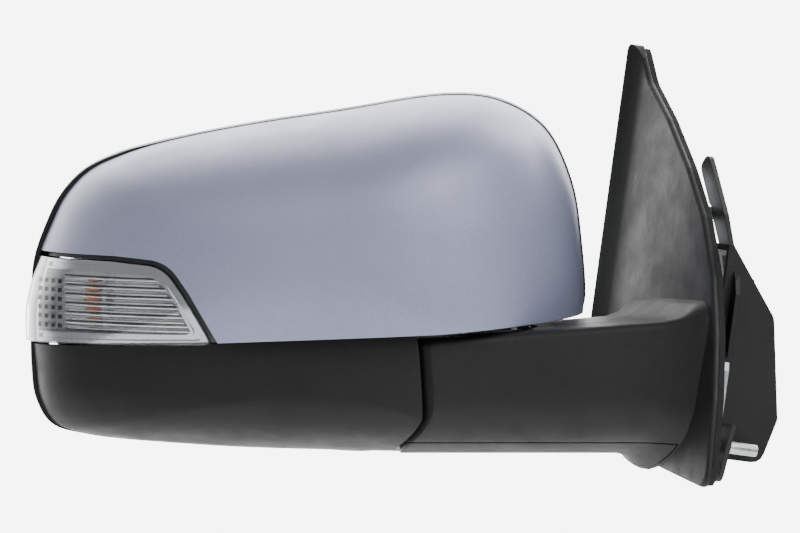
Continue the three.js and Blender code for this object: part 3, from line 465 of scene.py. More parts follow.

# %% [markdown]
# The painted cover has a satin lavender grey. It is a base coat with fine metallic flake under a clear coat,
# so the flake changes the base colour and the metallic a little, soft cloudiness moves the roughness, and a faint
# long ripple, which painters call orange peel, goes to the normal. The clear coat is constant, so it is set on the
# shader.

# %% Paint
def make_paint():
    material, tree, shader = new_finish(
        "satin lavender paint", Coat_Weight=0.3, Coat_Roughness=0.32, Specular_IOR_Level=0.5)
    place = add(tree, "ShaderNodeTexCoord").outputs["Object"]
    flake = add(tree, "ShaderNodeTexVoronoi", scale=2600.0)
    ripple = add(tree, "ShaderNodeTexNoise", scale=170.0, detail=1.0)
    tree.links.new(place, flake.inputs["Vector"])
    tree.links.new(place, ripple.inputs["Vector"])
    tone = blend(tree, use(tree, CLOUD, 9.0), colour(126, 129, 156), colour(133, 137, 163))
    bright = scaled(tree, flake.outputs["Color"], 0.3, 0.9, 0.0, 0.16)
    tone = blend(tree, bright, tone, colour(186, 190, 208))
    tone = blend(tree, scaled(tree, use(tree, DUST, 240.0), 0, 1, 0, 0.12), tone, colour(190, 188, 182))
    tree.links.new(tone, shader.inputs["Base Color"])
    tree.links.new(scaled(tree, use(tree, CLOUD, 40.0), 0, 1, 0.44, 0.54), shader.inputs["Roughness"])
    tree.links.new(scaled(tree, flake.outputs["Distance"], 0, 0.6, 0.42, 0.18), shader.inputs["Metallic"])
    raise_surface(tree, shader, ripple.outputs["Fac"], 0.02, 0.6)
    return material


PAINT = make_paint()
print(PAINT.name)

# %% [markdown]
# The black plastics differ by tool, not by resin. The covers that show have a fine even grain, the ones that
# only work have a coarser one and a rougher skin, and all of them pale where they are handled. One function
# makes the whole family, with the tone, gloss, grain size and grain depth as its choices.

# %% Black plastics
def make_plastic(name, dark, light, gloss, grain_size, grain_depth, dust=0.25, edge=0.0):
    material, tree, shader = new_finish(name, Specular_IOR_Level=0.35)
    tone = blend(tree, use(tree, CLOUD, 22.0), dark, light)
    tone = blend(tree, scaled(tree, use(tree, DUST, 300.0), 0, 1, 0, dust), tone, colour(96, 95, 92))
    tree.links.new(tone, shader.inputs["Base Color"])
    tree.links.new(scaled(tree, use(tree, CLOUD, 60.0), 0, 1, gloss - 0.06, gloss + 0.06),
                   shader.inputs["Roughness"])
    raise_surface(tree, shader, use(tree, GRAIN, grain_size), grain_depth, edge)
    return material


MOULDED = make_plastic("moulded black", colour(9, 10, 11), colour(13, 14, 15), 0.5, 1100, 0.05, 0.06, 0.8)
ARM_BLACK = make_plastic("arm black", colour(11, 12, 12), colour(16, 17, 17), 0.52, 900, 0.1, 0.06, 0.8)
HOUSING_BLACK = make_plastic(
    "housing black", colour(12, 13, 14), colour(17, 18, 19), 0.5, 1000, 0.06, 0.06, 0.8)
BRACKET_BLACK = make_plastic("bracket black", colour(5, 6, 6), colour(9, 10, 10), 0.45, 700, 0.05, 0.04, 0.5)
UNIT_BLACK = make_plastic("mechanism black", colour(14, 15, 16), colour(20, 21, 23), 0.38, 1500, 0.02, 0.1)
RECESS_GREY = make_plastic("recess grey", colour(44, 47, 49), colour(54, 57, 59), 0.5, 1200, 0.03, 0.05)
CONNECTOR_GREY = make_plastic(
    "connector grey", colour(156, 160, 164), colour(168, 172, 176), 0.42, 1800, 0.015, 0.05)
ACETAL = make_plastic("gear acetal", colour(204, 200, 186), colour(216, 213, 201), 0.36, 2200, 0.01, 0.04)
print(len(bpy.data.materials), "materials so far")

# %% [markdown]
# The lamp and the glass need clear and bright finishes. The lens is clear acrylic, so it transmits; its flutes are
# real geometry, and the finish only adds a trace of haze. The reflector and the mirror are metal films, bright
# and nearly smooth, with a little cloudiness in the roughness so that they don't look like a perfect ball
# bearing. The bulb is a strong orange glass that lets only a little light through.

# %% Lamp and glass finishes
def make_clear(name, tint, haze):
    material, tree, shader = new_finish(name, Transmission_Weight=1.0, IOR=1.49)
    tree.links.new(blend(tree, use(tree, CLOUD, 30.0), tint, tuple(c * 0.97 for c in tint[:3]) + (1.0,)),
                   shader.inputs["Base Color"])
    tree.links.new(scaled(tree, use(tree, CLOUD, 90.0), 0, 1, haze, haze + 0.03), shader.inputs["Roughness"])
    return material


def make_film(name, tone, gloss, ripple_size, ripple_depth):
    material, tree, shader = new_finish(name, Metallic=1.0)
    darker = tuple(c * 0.93 for c in tone[:3]) + (1.0,)
    tree.links.new(blend(tree, use(tree, CLOUD, 25.0), tone, darker), shader.inputs["Base Color"])
    tree.links.new(scaled(tree, use(tree, CLOUD, 70.0), 0, 1, gloss, gloss + 0.03),
                   shader.inputs["Roughness"])
    place = add(tree, "ShaderNodeTexCoord").outputs["Object"]
    ripple = add(tree, "ShaderNodeTexNoise", scale=ripple_size)
    tree.links.new(place, ripple.inputs["Vector"])
    raise_surface(tree, shader, ripple.outputs["Fac"], ripple_depth)
    return material


LENS = make_clear("clear lens", colour(250, 250, 252), 0.02)
REFLECTOR = make_film("lamp reflector", colour(196, 200, 203), 0.22, 60.0, 0.05)
MIRROR = make_film("mirror film", colour(214, 219, 224), 0.015, 6.0, 0.004)
AMBER, tree, shader = new_finish("amber glass", Coat_Weight=0.6, Transmission_Weight=0.15)
tree.links.new(blend(tree, use(tree, CLOUD, 160.0), colour(236, 92, 18), colour(250, 128, 36)),
               shader.inputs["Base Color"])
tree.links.new(scaled(tree, use(tree, CLOUD, 90.0), 0, 1, 0.2, 0.3), shader.inputs["Roughness"])
print(LENS.name, AMBER.name, REFLECTOR.name, MIRROR.name)

# %% [markdown]
# The metals inside are working metals: a die-cast aluminium base with a dull, pebbly skin, and zinc-plated steel,
# whose spangle is a blotchy change of tone and gloss. The gasket is closed-cell foam with tiny pores, and the
# leads are wrapped in cloth tape, whose spiral comes from bands across the length of the lead.

# %% Metals, foam and tape
def make_metal(name, dark, light, gloss, spangle_size, pit_size, pit_depth):
    material, tree, shader = new_finish(name, Metallic=1.0)
    place = add(tree, "ShaderNodeTexCoord").outputs["Object"]
    spangle = add(tree, "ShaderNodeTexVoronoi", scale=spangle_size)
    tree.links.new(place, spangle.inputs["Vector"])
    mix = blend(tree, 0.5, spangle.outputs["Color"], use(tree, CLOUD, spangle_size / 3))
    tree.links.new(blend(tree, mix, dark, light), shader.inputs["Base Color"])
    tree.links.new(scaled(tree, mix, 0, 1, gloss - 0.08, gloss + 0.1), shader.inputs["Roughness"])
    raise_surface(tree, shader, use(tree, GRAIN, pit_size), pit_depth)
    return material


def make_foam():
    material, tree, shader = new_finish("gasket foam", Specular_IOR_Level=0.25)
    tree.links.new(blend(tree, use(tree, GRAIN, 1600.0), colour(16, 16, 17), colour(44, 44, 46)),
                   shader.inputs["Base Color"])
    tree.links.new(scaled(tree, use(tree, CLOUD, 200.0), 0, 1, 0.82, 0.95), shader.inputs["Roughness"])
    raise_surface(tree, shader, use(tree, GRAIN, 1600.0), 0.25)
    return material


def make_tape():
    material, tree, shader = new_finish("cloth tape", Sheen_Weight=0.15)
    place = add(tree, "ShaderNodeTexCoord").outputs["Object"]
    bands = add(tree, "ShaderNodeTexWave", wave_type="BANDS", bands_direction="DIAGONAL", scale=28.0)
    weave = add(tree, "ShaderNodeTexWave", wave_type="BANDS", bands_direction="X", scale=420.0)
    for texture in (bands, weave):
        tree.links.new(place, texture.inputs["Vector"])
    height = blend(tree, 0.3, bands.outputs["Fac"], weave.outputs["Fac"], "FLOAT")
    tree.links.new(blend(tree, bands.outputs["Fac"], colour(20, 20, 21), colour(40, 40, 41)),
                   shader.inputs["Base Color"])
    tree.links.new(scaled(tree, bands.outputs["Fac"], 0, 1, 0.62, 0.78), shader.inputs["Roughness"])
    raise_surface(tree, shader, height, 0.15)
    return material


def make_heater():
    material, tree, shader = new_finish("heater film", Coat_Weight=0.2)
    place = add(tree, "ShaderNodeTexCoord").outputs["Object"]
    tracks = add(tree, "ShaderNodeTexWave", wave_type="BANDS", bands_direction="Z",
                 scale=34.0, distortion=0.4)
    tree.links.new(place, tracks.inputs["Vector"])
    line = scaled(tree, tracks.outputs["Fac"], 0.55, 0.6)
    tree.links.new(blend(tree, line, colour(172, 120, 58), colour(96, 92, 88)), shader.inputs["Base Color"])
    tree.links.new(scaled(tree, line, 0, 1, 0.5, 0.3), shader.inputs["Roughness"])
    raise_surface(tree, shader, line, 0.03)
    return material


CAST = make_metal("cast aluminium", colour(150, 153, 156), colour(186, 189, 192), 0.44, 260.0, 700.0, 0.08)
STEEL = make_metal(
    "zinc-plated steel", colour(168, 171, 172), colour(206, 208, 208), 0.3, 420.0, 1500.0, 0.01)
FOAM, TAPE, HEATER = make_foam(), make_tape(), make_heater()

carried_finishes = {
    CAST: ["base_frame", "pivot_post"],
    STEEL: ["stud_upper", "stud_rear", "stud_front", "detent_ring", "fold_spring", "retaining_clip",
            "thrust_washer", "horizontal_motor", "vertical_motor", "fold_motor", "clutch_gear"]
    + [f"actuator_screw_{i}" for i in (1, 2, 3)] + [f"fold_unit_screw_{i}" for i in (1, 2)],
    FOAM: ["sail_gasket"],
    TAPE: ["base_harness", "head_harness"],
    HEATER: ["heater_pad"],
    UNIT_BLACK: ["head_frame", "actuator_case_rear", "actuator_case_front", "fold_case", "fold_case_cap",
                 "glass_carrier", "bulb_socket"],
    ACETAL: ["gimbal_ring", "swivel_plate", "horizontal_plunger", "vertical_plunger", "horizontal_drive_gear",
             "vertical_drive_gear", "fold_pinion", "pivot_bush"],
    CONNECTOR_GREY: ["harness_connector"],
    BRACKET_BLACK: ["mount_bracket"],
}
for material, names in carried_finishes.items():
    for name in names:
        for place in frame["nodes"][name].material_slots:
            place.material = material
print(sum(len(names) for names in carried_finishes.values()), "nodes carry a finish")

# %% [markdown]
# ## The painted cover
# On the real mirror this is a thin ABS shell, painted and clipped on over the black parts. It is full at the
# middle and rolls over towards its outline, and its outer end sweeps back. So it is a dome: the outline shrinks
# towards a centre as it moves forwards, and a power sets how square the roll is. An inner dome hollows it, and
# the lamp's outline, grown a little for the dark recess, is cut out of it.

# %% Domes
TIP_SWEEP = 34
DOME_RINGS = 36


def out(share):
    return -HEAD_OUT * share


def up(share):
    return ARM_TOP + (HEAD_TOP - ARM_TOP) * share


def sweep(x):
    return TIP_SWEEP * max(0.0, -x / HEAD_OUT) ** 2.2


def dome(outline, centre, front, power, depth):
    """A domed solid in the head's frame, its surface moved inwards by a depth."""
    edge = inset(outline, depth)
    rings = [[head @ Vector((p.x, RIM_Y + 10, p.y)) for p in edge]]
    for k in range(DOME_RINGS + 1):
        turn = math.pi / 2 * k / (DOME_RINGS + 0.15)
        share = math.cos(turn) ** (2 / power)
        height = math.sin(turn) ** (2 / power)
        flat = [centre + (p - centre) * share for p in edge]
        rings.append([head @ Vector((p.x, RIM_Y - (RIM_Y - front - depth - sweep(p.x)) * height, p.y))
                      for p in flat])
    return skinned("dome", rings)


BROW = [
    (HEAD_IN, up(0.05)), (HEAD_IN - 1.5, up(0.38)), (HEAD_IN - 6, up(0.62)), (HEAD_IN - 19, up(0.855)),
    (HEAD_IN - 41, up(0.975)), (HEAD_IN - 66, up(0.998)), (out(0.33), up(0.928)), (out(0.54), up(0.862)),
    (out(0.7), up(0.795)), (out(0.79), up(0.745)), (out(0.865), up(0.672)), (out(0.915), up(0.565)),
    (out(0.948), up(0.43)),
]
BEZEL_SHOW = 1
AROUND = 240
paint_outline = smooth(
    [(x + BEZEL_SHOW, z - 0.3) if x < out(0.75) else (x, z) for x, z in BROW]
    + [(out(0.978), up(0.24)), (out(0.998), up(0.03)), (out(0.975), 8), (out(0.85), -8), (out(0.5), -10),
       (0, -8), (HEAD_IN - 8, 2)], AROUND)
PAINT_CENTRE = Vector((out(0.37), 72))
PAINT_DEPTH = 58
PAINT_POWER = 2.5
EDGE_BREAK = -27
EDGE_LEVEL = 32.4
EDGE_SLOPE = 0.044


def paint_dome(depth):
    return dome(paint_outline, PAINT_CENTRE, -PAINT_DEPTH, PAINT_POWER, depth)


def edge_height(x):
    """The painted cover's lower edge: along the arm, then almost level out to the tip."""
    if x > EDGE_BREAK:
        return ARM_TOP + SHOW_GAP + 0.5 + RISE * x
    return EDGE_LEVEL + (x - EDGE_BREAK) * EDGE_SLOPE


def beside_edge(lift, far):
    """What lies above (far 300) or below (far -200) the painted cover's lower edge, in front of the split."""
    line = [Vector((x, edge_height(x) + lift)) for x in (120, EDGE_BREAK, -FAR)]
    return wall("beside", line + [Vector((-FAR, far)), Vector((120, far))], -200, SPLIT_Y - GAP)


lamp_corners = [
    (out(1.06), edge_height(out(1.06)) + 1.5, 0), (out(0.592), edge_height(out(0.59)) - 1, 2.5),
    (out(0.651), 50, 60), (out(0.694), 64, 40), (out(0.8), 65.8, 60), (out(1.06), 65.5, 0),
]
LAMP_RECESS = 2.6


def lamp_prism(distance, back=200):
    return wall("lamp prism", rounded(lamp_corners, distance), -200, back)


upper_cover = cut(common(paint_dome(0), beside_edge(0, 300)), paint_dome(WALL), lamp_prism(-LAMP_RECESS))
upper_cover.name = "painted_cover"
finish(upper_cover, "head", "paint", PAINT, "upper_cover")

# %% [markdown]
# ## The black lower cover
# This one carries the painted cover and wraps round the end of the arm. It is a dome of its own, a little squarer,
# cut off below the paint line. Where the arm passes, it stops at a round seam about the fold axis, so that the gap
# stays the same however far the head turns.

# %% Lower cover
lower_outline = smooth(
    [(HEAD_IN, 60), (0, 78), (out(0.5), 80), (out(0.93), 70), (out(0.978), 40), (out(0.976), 12),
     (out(0.965), -4), (out(0.93), -16), (out(0.86), -20.8), (out(0.62), -25.9), (out(0.3), ARM_BOTTOM + 0.4), (0, ARM_BOTTOM),
     (HEAD_IN - 10, -25), (HEAD_IN, 0)], AROUND)
LOWER_CENTRE = Vector((out(0.37), 6))
FLOOR = (ARM_TOP + SHOW_GAP) * math.cos(TILT)
HEAD_SEAM = SEAM_RADIUS + SHOW_GAP
FLOOR_HOLE = 30


def lower_dome(depth):
    return dome(lower_outline, LOWER_CENTRE, -ARM_HALF_DEPTH, 3, depth)


def pillar(radius, low, high):
    return raised("pillar", pivot, circle(radius, 128), low, high)


def arm_space(grow):
    """The room that the arm needs inside the head, grown by a wall."""
    return join(pillar(HEAD_SEAM + grow, -90, FLOOR + grow),
                raised("run", pivot, rectangle(0, 150, -90, 90), -90.5, FLOOR + grow))


shell = cut(common(lower_dome(0), beside_edge(-0.6, -200)),
            cut(lower_dome(WALL), arm_space(WALL)), arm_space(0))
floor_plate = join(pillar(HEAD_SEAM + WALL, FLOOR + 0.02, FLOOR + WALL),
                   raised("ledge", pivot, rectangle(0, 150, -90, 90), FLOOR + 0.01, FLOOR + WALL - 0.01))
in_front = wall("front", rectangle(-FAR, 200, -99, 99), -200, SPLIT_Y - GAP)
floor_plate = cut(common(floor_plate, paint_dome(WALL + GAP), in_front),
                  pillar(FLOOR_HOLE, FLOOR - 1, FLOOR + 9))
lower_cover = join(shell, floor_plate)
lower_cover.name = "lower_cover_shell"
finish(lower_cover, "head", "moulded_black", MOULDED, "lower_cover")

# %% [markdown]
# ## The arm and the sail
# The arm is a moulded cover over the cast base. Its section has upright sides that roll under to a flat belly, and
# soft top corners. It swells out into the sail in a hollow fillet, because a sharp corner there would whistle and
# crack. Lines of the section run from the round end to the sail, and each point stops at the leaning sail by
# itself, so the fillet can be worked out from how far a point is from it.

# %% Arm
SAIL_OFFSET = 6
GASKET = 3
TOP_CORNER = 4
HOLLOW = 13
ARM_START = -160
PARTING = -20.6
ROLL_START = 6
TOP_HOLE = 23


def arm_section(depth):
    """Points in Y and Z, from one top corner round the belly to the other and back over the top."""
    half = ARM_HALF_DEPTH - depth
    belly = ROLL_START - ARM_BOTTOM + 2 - depth
    corner = TOP_CORNER - depth / 2
    top = ARM_TOP - depth
    side = [Vector((-half, ROLL_START + (top - corner - ROLL_START) * k / 6)) for k in range(5, 0, -1)]
    for k in range(23):
        turn = math.pi / 2 * k / 24
        reach = RIM_Y - depth - (RIM_Y - 2 * depth + half) * math.cos(turn) ** (2 / 3)
        if reach < -1:
            side.append(Vector((reach, ROLL_START - belly * math.sin(turn) ** (2 / 3))))
    line = side + [Vector((-p.x, p.y)) for p in reversed(side)]
    for k in range(7):
        turn = math.pi / 2 * k / 6
        line.append(Vector((half - corner + corner * math.cos(turn), top - corner + corner * math.sin(turn))))
    for k in range(1, 8):
        line.append(Vector((half - corner - 2 * (half - corner) * k / 8, top)))
    for k in range(7):
        turn = math.pi / 2 * (1 + k / 6)
        line.append(Vector((corner - half + corner * math.cos(turn), top - corner + corner * math.sin(turn))))
    return line


def arm_run(depth, beyond):
    """The arm from before its round end to a little beyond the sail's outer face."""
    line = arm_section(depth)
    ways = [a - b for a, b in zip(line[1:] + line[:1], line[-1:] + line[:-1])]
    shares = [k / 22 for k in range(17)] + [1 - (23 - k) ** 2 / 150 for k in range(17, 24)]
    rings = []
    for share in shares:
        ring = []
        for point, way in zip(line, ways):
            outward = Vector((way.y, -way.x)).normalized()
            rise = 0.0
            for _ in range(8):
                place = point + outward * rise
                end = (beyond - SAIL_OFFSET - door_in.y * place.x - door_in.z * place.y) / door_in.x
                x = ARM_START + (end - ARM_START) * share
                away = max(1.0, (end - x) * door_in.x - beyond)
                flared = away < HOLLOW and not depth
                rise = HOLLOW - math.sqrt(HOLLOW ** 2 - (HOLLOW - away) ** 2) if flared else 0.0
            place = point + outward * rise
            tall = 1 if point.y > ROLL_START else 0
            climb = tall * RISE * (x - PIVOT.x) * min(1, (point.y - ROLL_START) / 20)
            ring.append(Vector((x, place.x, place.y + climb)))
        rings.append(ring)
    return skinned("arm", [[Vector(p) for p in ring] for ring in rings])


def round_end(depth):
    """What is cut away to leave a round end about the fold axis, its top edge rolled like the arm's own."""
    radius = SEAM_RADIUS - depth
    plan = [Vector((-radius * math.sin(a), radius * math.cos(a)))
            for a in (math.pi * k / 64 for k in range(65))]
    plan = [Vector((60, radius))] + plan + [Vector((60, -radius))]
    level = ARM_TOP * math.cos(TILT) - depth + 0.03
    corner = TOP_CORNER - depth / 2
    rings = [[pivot @ Vector((p.x, p.y, -110)) for p in plan]]
    for k in range(8):
        turn = math.pi / 2 * k / 7
        drop, back = corner * (1 - math.sin(turn)), corner * (1 - math.cos(turn))
        ring = []
        for p in plan:
            flat = p * (1 - back / radius) if p.x < 1 else Vector((p.x, math.copysign(abs(p.y) - back, p.y)))
            ring.append(pivot @ Vector((flat.x, flat.y, level - drop)))
        rings.append(ring)
    block = raised("block", pivot, rectangle(-120, 25, -95, 95), -100, 70)
    return cut(block, skinned("round", rings))


arm = cut(arm_run(0, 2), round_end(0))
print("arm:", len(arm.data.polygons), "faces")

# %% [markdown]
# The sail fills the corner of the side window. It is a shallow tray, seated on a foam gasket, and its rear edge
# stands out further than the rest, which gives the pale strip along it. The arm and the tray are one moulding on
# the real mirror, so they are joined, hollowed from the door side, and parted from the small cover under the arm.

# %% Sail
SAIL_SKIN = 2.2
FLARE = 5
sail_corners = [(79, -23, 6), (79, 169, 3), (60, 149, 20), (32, 132.5, 20), (1, 110, 20), (-24, 88, 20),
                (-45.5, 60, 20), (-58, 32, 20), (-66, 2, 20), (-71.5, -41.5, 8)]


def sail(distance, low, high):
    return raised("sail", door, rounded(sail_corners, distance), low, high)


def rolled_sail(low, high, roll):
    """The sail's tray with the edge of its outer face rolled over."""
    rings = [[door @ Vector((x, y, high)) for x, y in rounded(sail_corners)]]
    for k in range(7):
        turn = math.pi / 2 * k / 6
        line = rounded(sail_corners, roll * (1 - math.cos(turn)))
        rings.append([door @ Vector((x, y, low + roll * (1 - math.sin(turn)))) for x, y in line])
    return skinned("tray", rings)


wedge_frame = door @ Matrix.Rotation(math.pi / 2, 4, "X")
wedge_corners = ((70.8, 1), (70.8, -SAIL_OFFSET + 0.3), (79.5, -SAIL_OFFSET - FLARE), (79.5, 1))
wedge = raised("wedge", wedge_frame, [Vector(p) for p in wedge_corners], -220, 80)
wedge = common(wedge, sail(0.01, -40, -GASKET - GAP - 0.02))


def door_side(level):
    """All that lies inboard of a level off the door."""
    return raised("side", door, rectangle(-FAR, FAR, -FAR, FAR), level, 200)


def below_parting(lift):
    return raised("below", Matrix.Identity(4), rectangle(-FAR, FAR, -FAR, FAR), -FAR, PARTING + lift)


def arm_hollow():
    return cut(arm_run(WALL, 8), round_end(WALL))


tray = join(rolled_sail(-SAIL_OFFSET, -GASKET - GAP, 1.6), wedge)
under_cover = cut(common(copy(arm, "under"), below_parting(-GAP)),
                  arm_hollow(), door_side(-SAIL_OFFSET - 2 * GAP))
under_cover.name = "arm_under_shell"
finish(under_cover, "base", "moulded_black", ARM_BLACK, "arm_under_cover")
under = cut(below_parting(0), door_side(-SAIL_OFFSET - GAP))
sail_cover = join(cut(arm, door_side(-SAIL_OFFSET + 1)), tray)
sail_cover = cut(sail_cover, sail(SAIL_SKIN, SAIL_SKIN - SAIL_OFFSET, 3),
                 cut(arm_hollow(), door_side(-GASKET + 1)), under, pillar(TOP_HOLE, 20, 60))
sail_cover.name = "sail_and_arm_cover"
finish(sail_cover, "base", "moulded_black", ARM_BLACK, "sail_cover")

# %% [markdown]
# ## The turn signal
# A clear lens closes the front of a bright bowl. Horizontal flutes run along the inside of the lens and spread the
# light, a bright frame shows through it all round, and a small grid at its outer end is a side reflector, whose
# cells are black as painted shade for the dark look of its prisms. All of them follow the lens, so the lens's
# surface is written as a function that gives its Y for a place in X and Z.

# %% Lens
LENS_WALL = 2
LAMP_BACK = 22
outline_turns = sorted((math.atan2(p.y - PAINT_CENTRE.y, p.x - PAINT_CENTRE.x), (p - PAINT_CENTRE).length)
                       for p in paint_outline)


def front_at(x, z):
    """Y of the painted cover's surface in front of a place in the head's X and Z."""
    offset = Vector((x, z)) - PAINT_CENTRE
    turn = math.atan2(offset.y, offset.x)
    index = next((i for i, (a, _) in enumerate(outline_turns) if a > turn), 0)
    (a0, r0), (a1, r1) = outline_turns[index - 1], outline_turns[index]
    share = (turn - a0) / (a1 - a0) if index else 0
    reach = min(1.0, offset.length / (r0 + (r1 - r0) * share))
    return RIM_Y - (RIM_Y + PAINT_DEPTH - sweep(x)) * (1 - reach ** PAINT_POWER) ** (1 / PAINT_POWER)


def flute(z, radius=1.5, sunk=0.1, start=-136, end=-206):
    """A round bar along the inside of the lens."""
    rings = []
    for k in range(49):
        x = start + (end - start) * k / 48
        y = front_at(x, z) + LENS_WALL + sunk
        rings.append([head @ Vector((x, y + p.y, z + p.x)) for p in circle(radius, 16)])
    return skinned("flute", rings)


def lamp_space(distance, back=LAMP_BACK):
    return lamp_prism(distance, back)


lens = cut(common(paint_dome(0), lamp_prism(0, SPLIT_Y - GAP)), paint_dome(LENS_WALL))
FLUTE_PITCH = 4.3
FLUTES = [34.2 + FLUTE_PITCH * k for k in range(6)]
lens = join(lens, *[common(flute(z), lamp_prism(5.5)) for z in FLUTES])
lens.name = "signal_lens"
finish(lens, "head", "lens", LENS, "lamp_lens", angle=30)
print("lens:", len(FLUTES), "flutes,", len(lens.data.polygons), "faces")

# %% [markdown]
# Seen through the lens, each flute ends in a thin dark line of shadow. Small dark bars between the flutes are
# painted shadow that stands for it. They are a help to the eye, not a piece that comes off on a bench.

# %% Painted shadow lines between the flutes
FLUTE_CLEAR = 5.2


def merged(name, pieces):
    """Several loose pieces as one object."""
    activate(pieces[0])
    for piece in pieces:
        piece.select_set(True)
    bpy.ops.object.join()
    bpy.context.object.name = name
    return bpy.context.object


# Black bars behind the lens: painted shadow at the root of each flute, not a real piece.
flute_shadow_bars = [common(flute(z - FLUTE_PITCH / 2, 0.42, 1.5), lamp_prism(FLUTE_CLEAR))
         for z in FLUTES + [FLUTES[-1] + FLUTE_PITCH]]
finish(merged("painted_flute_shadows", flute_shadow_bars), "head", "moulded_black", HOUSING_BLACK, angle=60)

# %% [markdown]
# Behind the lens sits the bowl: a metallised moulding with a bright lip, a thin inner frame and a partition
# beside the bulb. A dark recess closes the gap round the lamp. The bulb is a small amber capsule in a steel
# collar, and the side reflector is one small blunt pyramid, copied in rows, in black that is painted shade for
# the dark look of the real prisms.

# %% Bowl, bulb and side reflector
BULB = Vector((out(0.84), 46))
bowl = cut(common(paint_dome(LENS_WALL + GAP), lamp_space(0.5)),
           common(paint_dome(LENS_WALL - 1), lamp_space(2.3, LAMP_BACK - 2)),
           wall("bulb hole", circle(5, 48, BULB), 0, 40))
frame_ring = cut(common(paint_dome(LENS_WALL + GAP), lamp_space(4.4)),
                 paint_dome(LENS_WALL + 3.4), lamp_space(5.4, 90))
lip = cut(common(paint_dome(LENS_WALL + 1.4), lamp_space(0.9)),
          paint_dome(LENS_WALL + 2.6), lamp_space(4.9, 90))
partition = common(paint_dome(LENS_WALL + 2.4), lamp_space(1.5, LAMP_BACK - 1),
                   wall("blade", rectangle(-187.8, -186.4, 0, 90), -90, 40))
bowl = join(bowl, lip, frame_ring, partition)
bowl.name = "signal_bowl"
finish(bowl, "head", "reflector", REFLECTOR, "lamp_housing")

recess = common(common(paint_dome(WALL + 0.7), lamp_space(-4, 31)), beside_edge(0.3, 300))
recess = cut(recess, lamp_space(-0.3, 90), paint_dome(WALL + 6))
recess.name = "signal_recess"
finish(recess, "head", "moulded_black", RECESS_GREY)

capsule = [(0.6, 8.0), (2.2, 7.3), (3.3, 6.0), (3.8, 4.2), (3.8, -4.2), (3.3, -6.0), (2.2, -7.3), (0.6, -8.0)]
stand = head @ Matrix.Translation((BULB.x, LAMP_BACK - 12, BULB.y))
bulb = lathed("bulb_capsule", stand, capsule, 40)
activate(bulb)
smoothing = bulb.modifiers.new("round", "SUBSURF")
smoothing.levels = smoothing.render_levels = 2
bpy.ops.object.modifier_apply(modifier=smoothing.name)
finish(bulb, "head", "amber_bulb", AMBER, "lamp_bulb", angle=60)
collar_frame = stand @ Matrix.Translation((4.6, 0, 0)) @ Matrix.Rotation(math.pi / 2, 4, "Y")
collar = lathed("bulb_collar", collar_frame, [(2.0, -1.4), (3.6, -1.2), (3.9, 0), (3.9, 3.2), (2.8, 4.6)], 40)
finish(softened(collar, 0.3, 40), "head", "steel", STEEL)

# The reflector's grid is real, but its cells are black: painted shade for the dark look of its prisms.
CELL_CORNERS = ((1, 1), (-1, 1), (-1, -1), (1, -1))
CELLS_X, CELL_STEP_X = -208.6, 3.3
CELLS_Z, CELL_STEP_Z = 33.6, 4.2
cells = []
for row in range(6):
    for column in range(4):
        x, z = CELLS_X - CELL_STEP_X * column, CELLS_Z + CELL_STEP_Z * row
        y = front_at(x, z) + LENS_WALL + 0.5
        cells.append(skinned("cell", [
            [head @ Vector((x + sx * half, y + back, z + sz * half)) for sx, sz in CELL_CORNERS]
            for half, back in ((1.1, 1.6), (0.8, 0))]))
finish(merged("side_reflector_painted_shade", cells), "head", "moulded_black", HOUSING_BLACK)

# %% [markdown]
# ## Rear housing and mirror glass
# The rear housing is the black frame that the glass floats in. It shows from the front only as a thin line round
# the painted cover, and from the rear as the broad rim round the glass. The glass is 2 mm thick, with a ground
# edge, and it stands a little back from the rim so that it can tilt.

# %% Housing and glass
def floor_line(x):
    return ARM_TOP + SHOW_GAP + RISE * x + 0.5


housing_outline = smooth(
    BROW[1:] + [
        (out(0.972), up(0.28)), (out(0.978), up(0.05)), (out(0.977), 12), (out(0.968), -3),
        (out(0.935), -15.5),
        (out(0.86), -20.8), (out(0.62), -25.9), (out(0.4), -27.8), (-56.5, -28.4), (-47.5, -24), (-44.5, -8),
        (-44.5, 8), (-44.5, 22), (-41, floor_line(-41) + 0.3), (-30.5, floor_line(-30.5)), (0, floor_line(0)),
        (HEAD_IN - 12, floor_line(HEAD_IN - 12)), (HEAD_IN - 2.5, floor_line(HEAD_IN) + 0.5),
        (HEAD_IN, floor_line(HEAD_IN) + 5)], 300)
glass_outline = rounded([
    (HEAD_IN - 13, up(0.17), 14), (HEAD_IN - 15, up(0.68), 30), (HEAD_IN - 38, up(0.87), 26),
    (out(0.33), up(0.822), 60), (out(0.7), up(0.7), 40), (out(0.87), up(0.52), 34),
    (out(0.925), up(0.07), 40),
    (out(0.92), -4, 18), (out(0.84), -12.5, 16), (-74, -17, 14), (-58, 18, 20), (-40, 44, 22)], 0, 12)
GLASS_GAP = 4
glass_low, glass_high = (Vector(corner) * 1000 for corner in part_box("mirror_glass"))


def rounded_wall(name, outline, front, back, roll):
    """An upright slab whose rear edge is rolled over."""
    rings = [[facing @ Vector((p.x, p.y, -front)) for p in outline]]
    for k in range(6):
        turn = math.pi / 2 * k / 5
        line = inset(outline, roll * (1 - math.cos(turn)))
        rings.append([facing @ Vector((p.x, p.y, -(back - roll * (1 - math.sin(turn))))) for p in line])
    return skinned(name, rings)


housing = rounded_wall("rear_bezel", housing_outline, SPLIT_Y, RIM_Y, 2.4)
cut(housing, wall("inside", inset(housing_outline, WALL), SPLIT_Y - 5, RIM_Y - 3))
join(housing, wall("collar", inset(glass_outline, -GLASS_GAP - 2), SPLIT_Y + 2, RIM_Y - 1))
cut(housing, wall("opening", inset(glass_outline, -GLASS_GAP), SPLIT_Y - 5, RIM_Y + 5))
finish(housing, "head", "moulded_black", HOUSING_BLACK, "rear_housing")

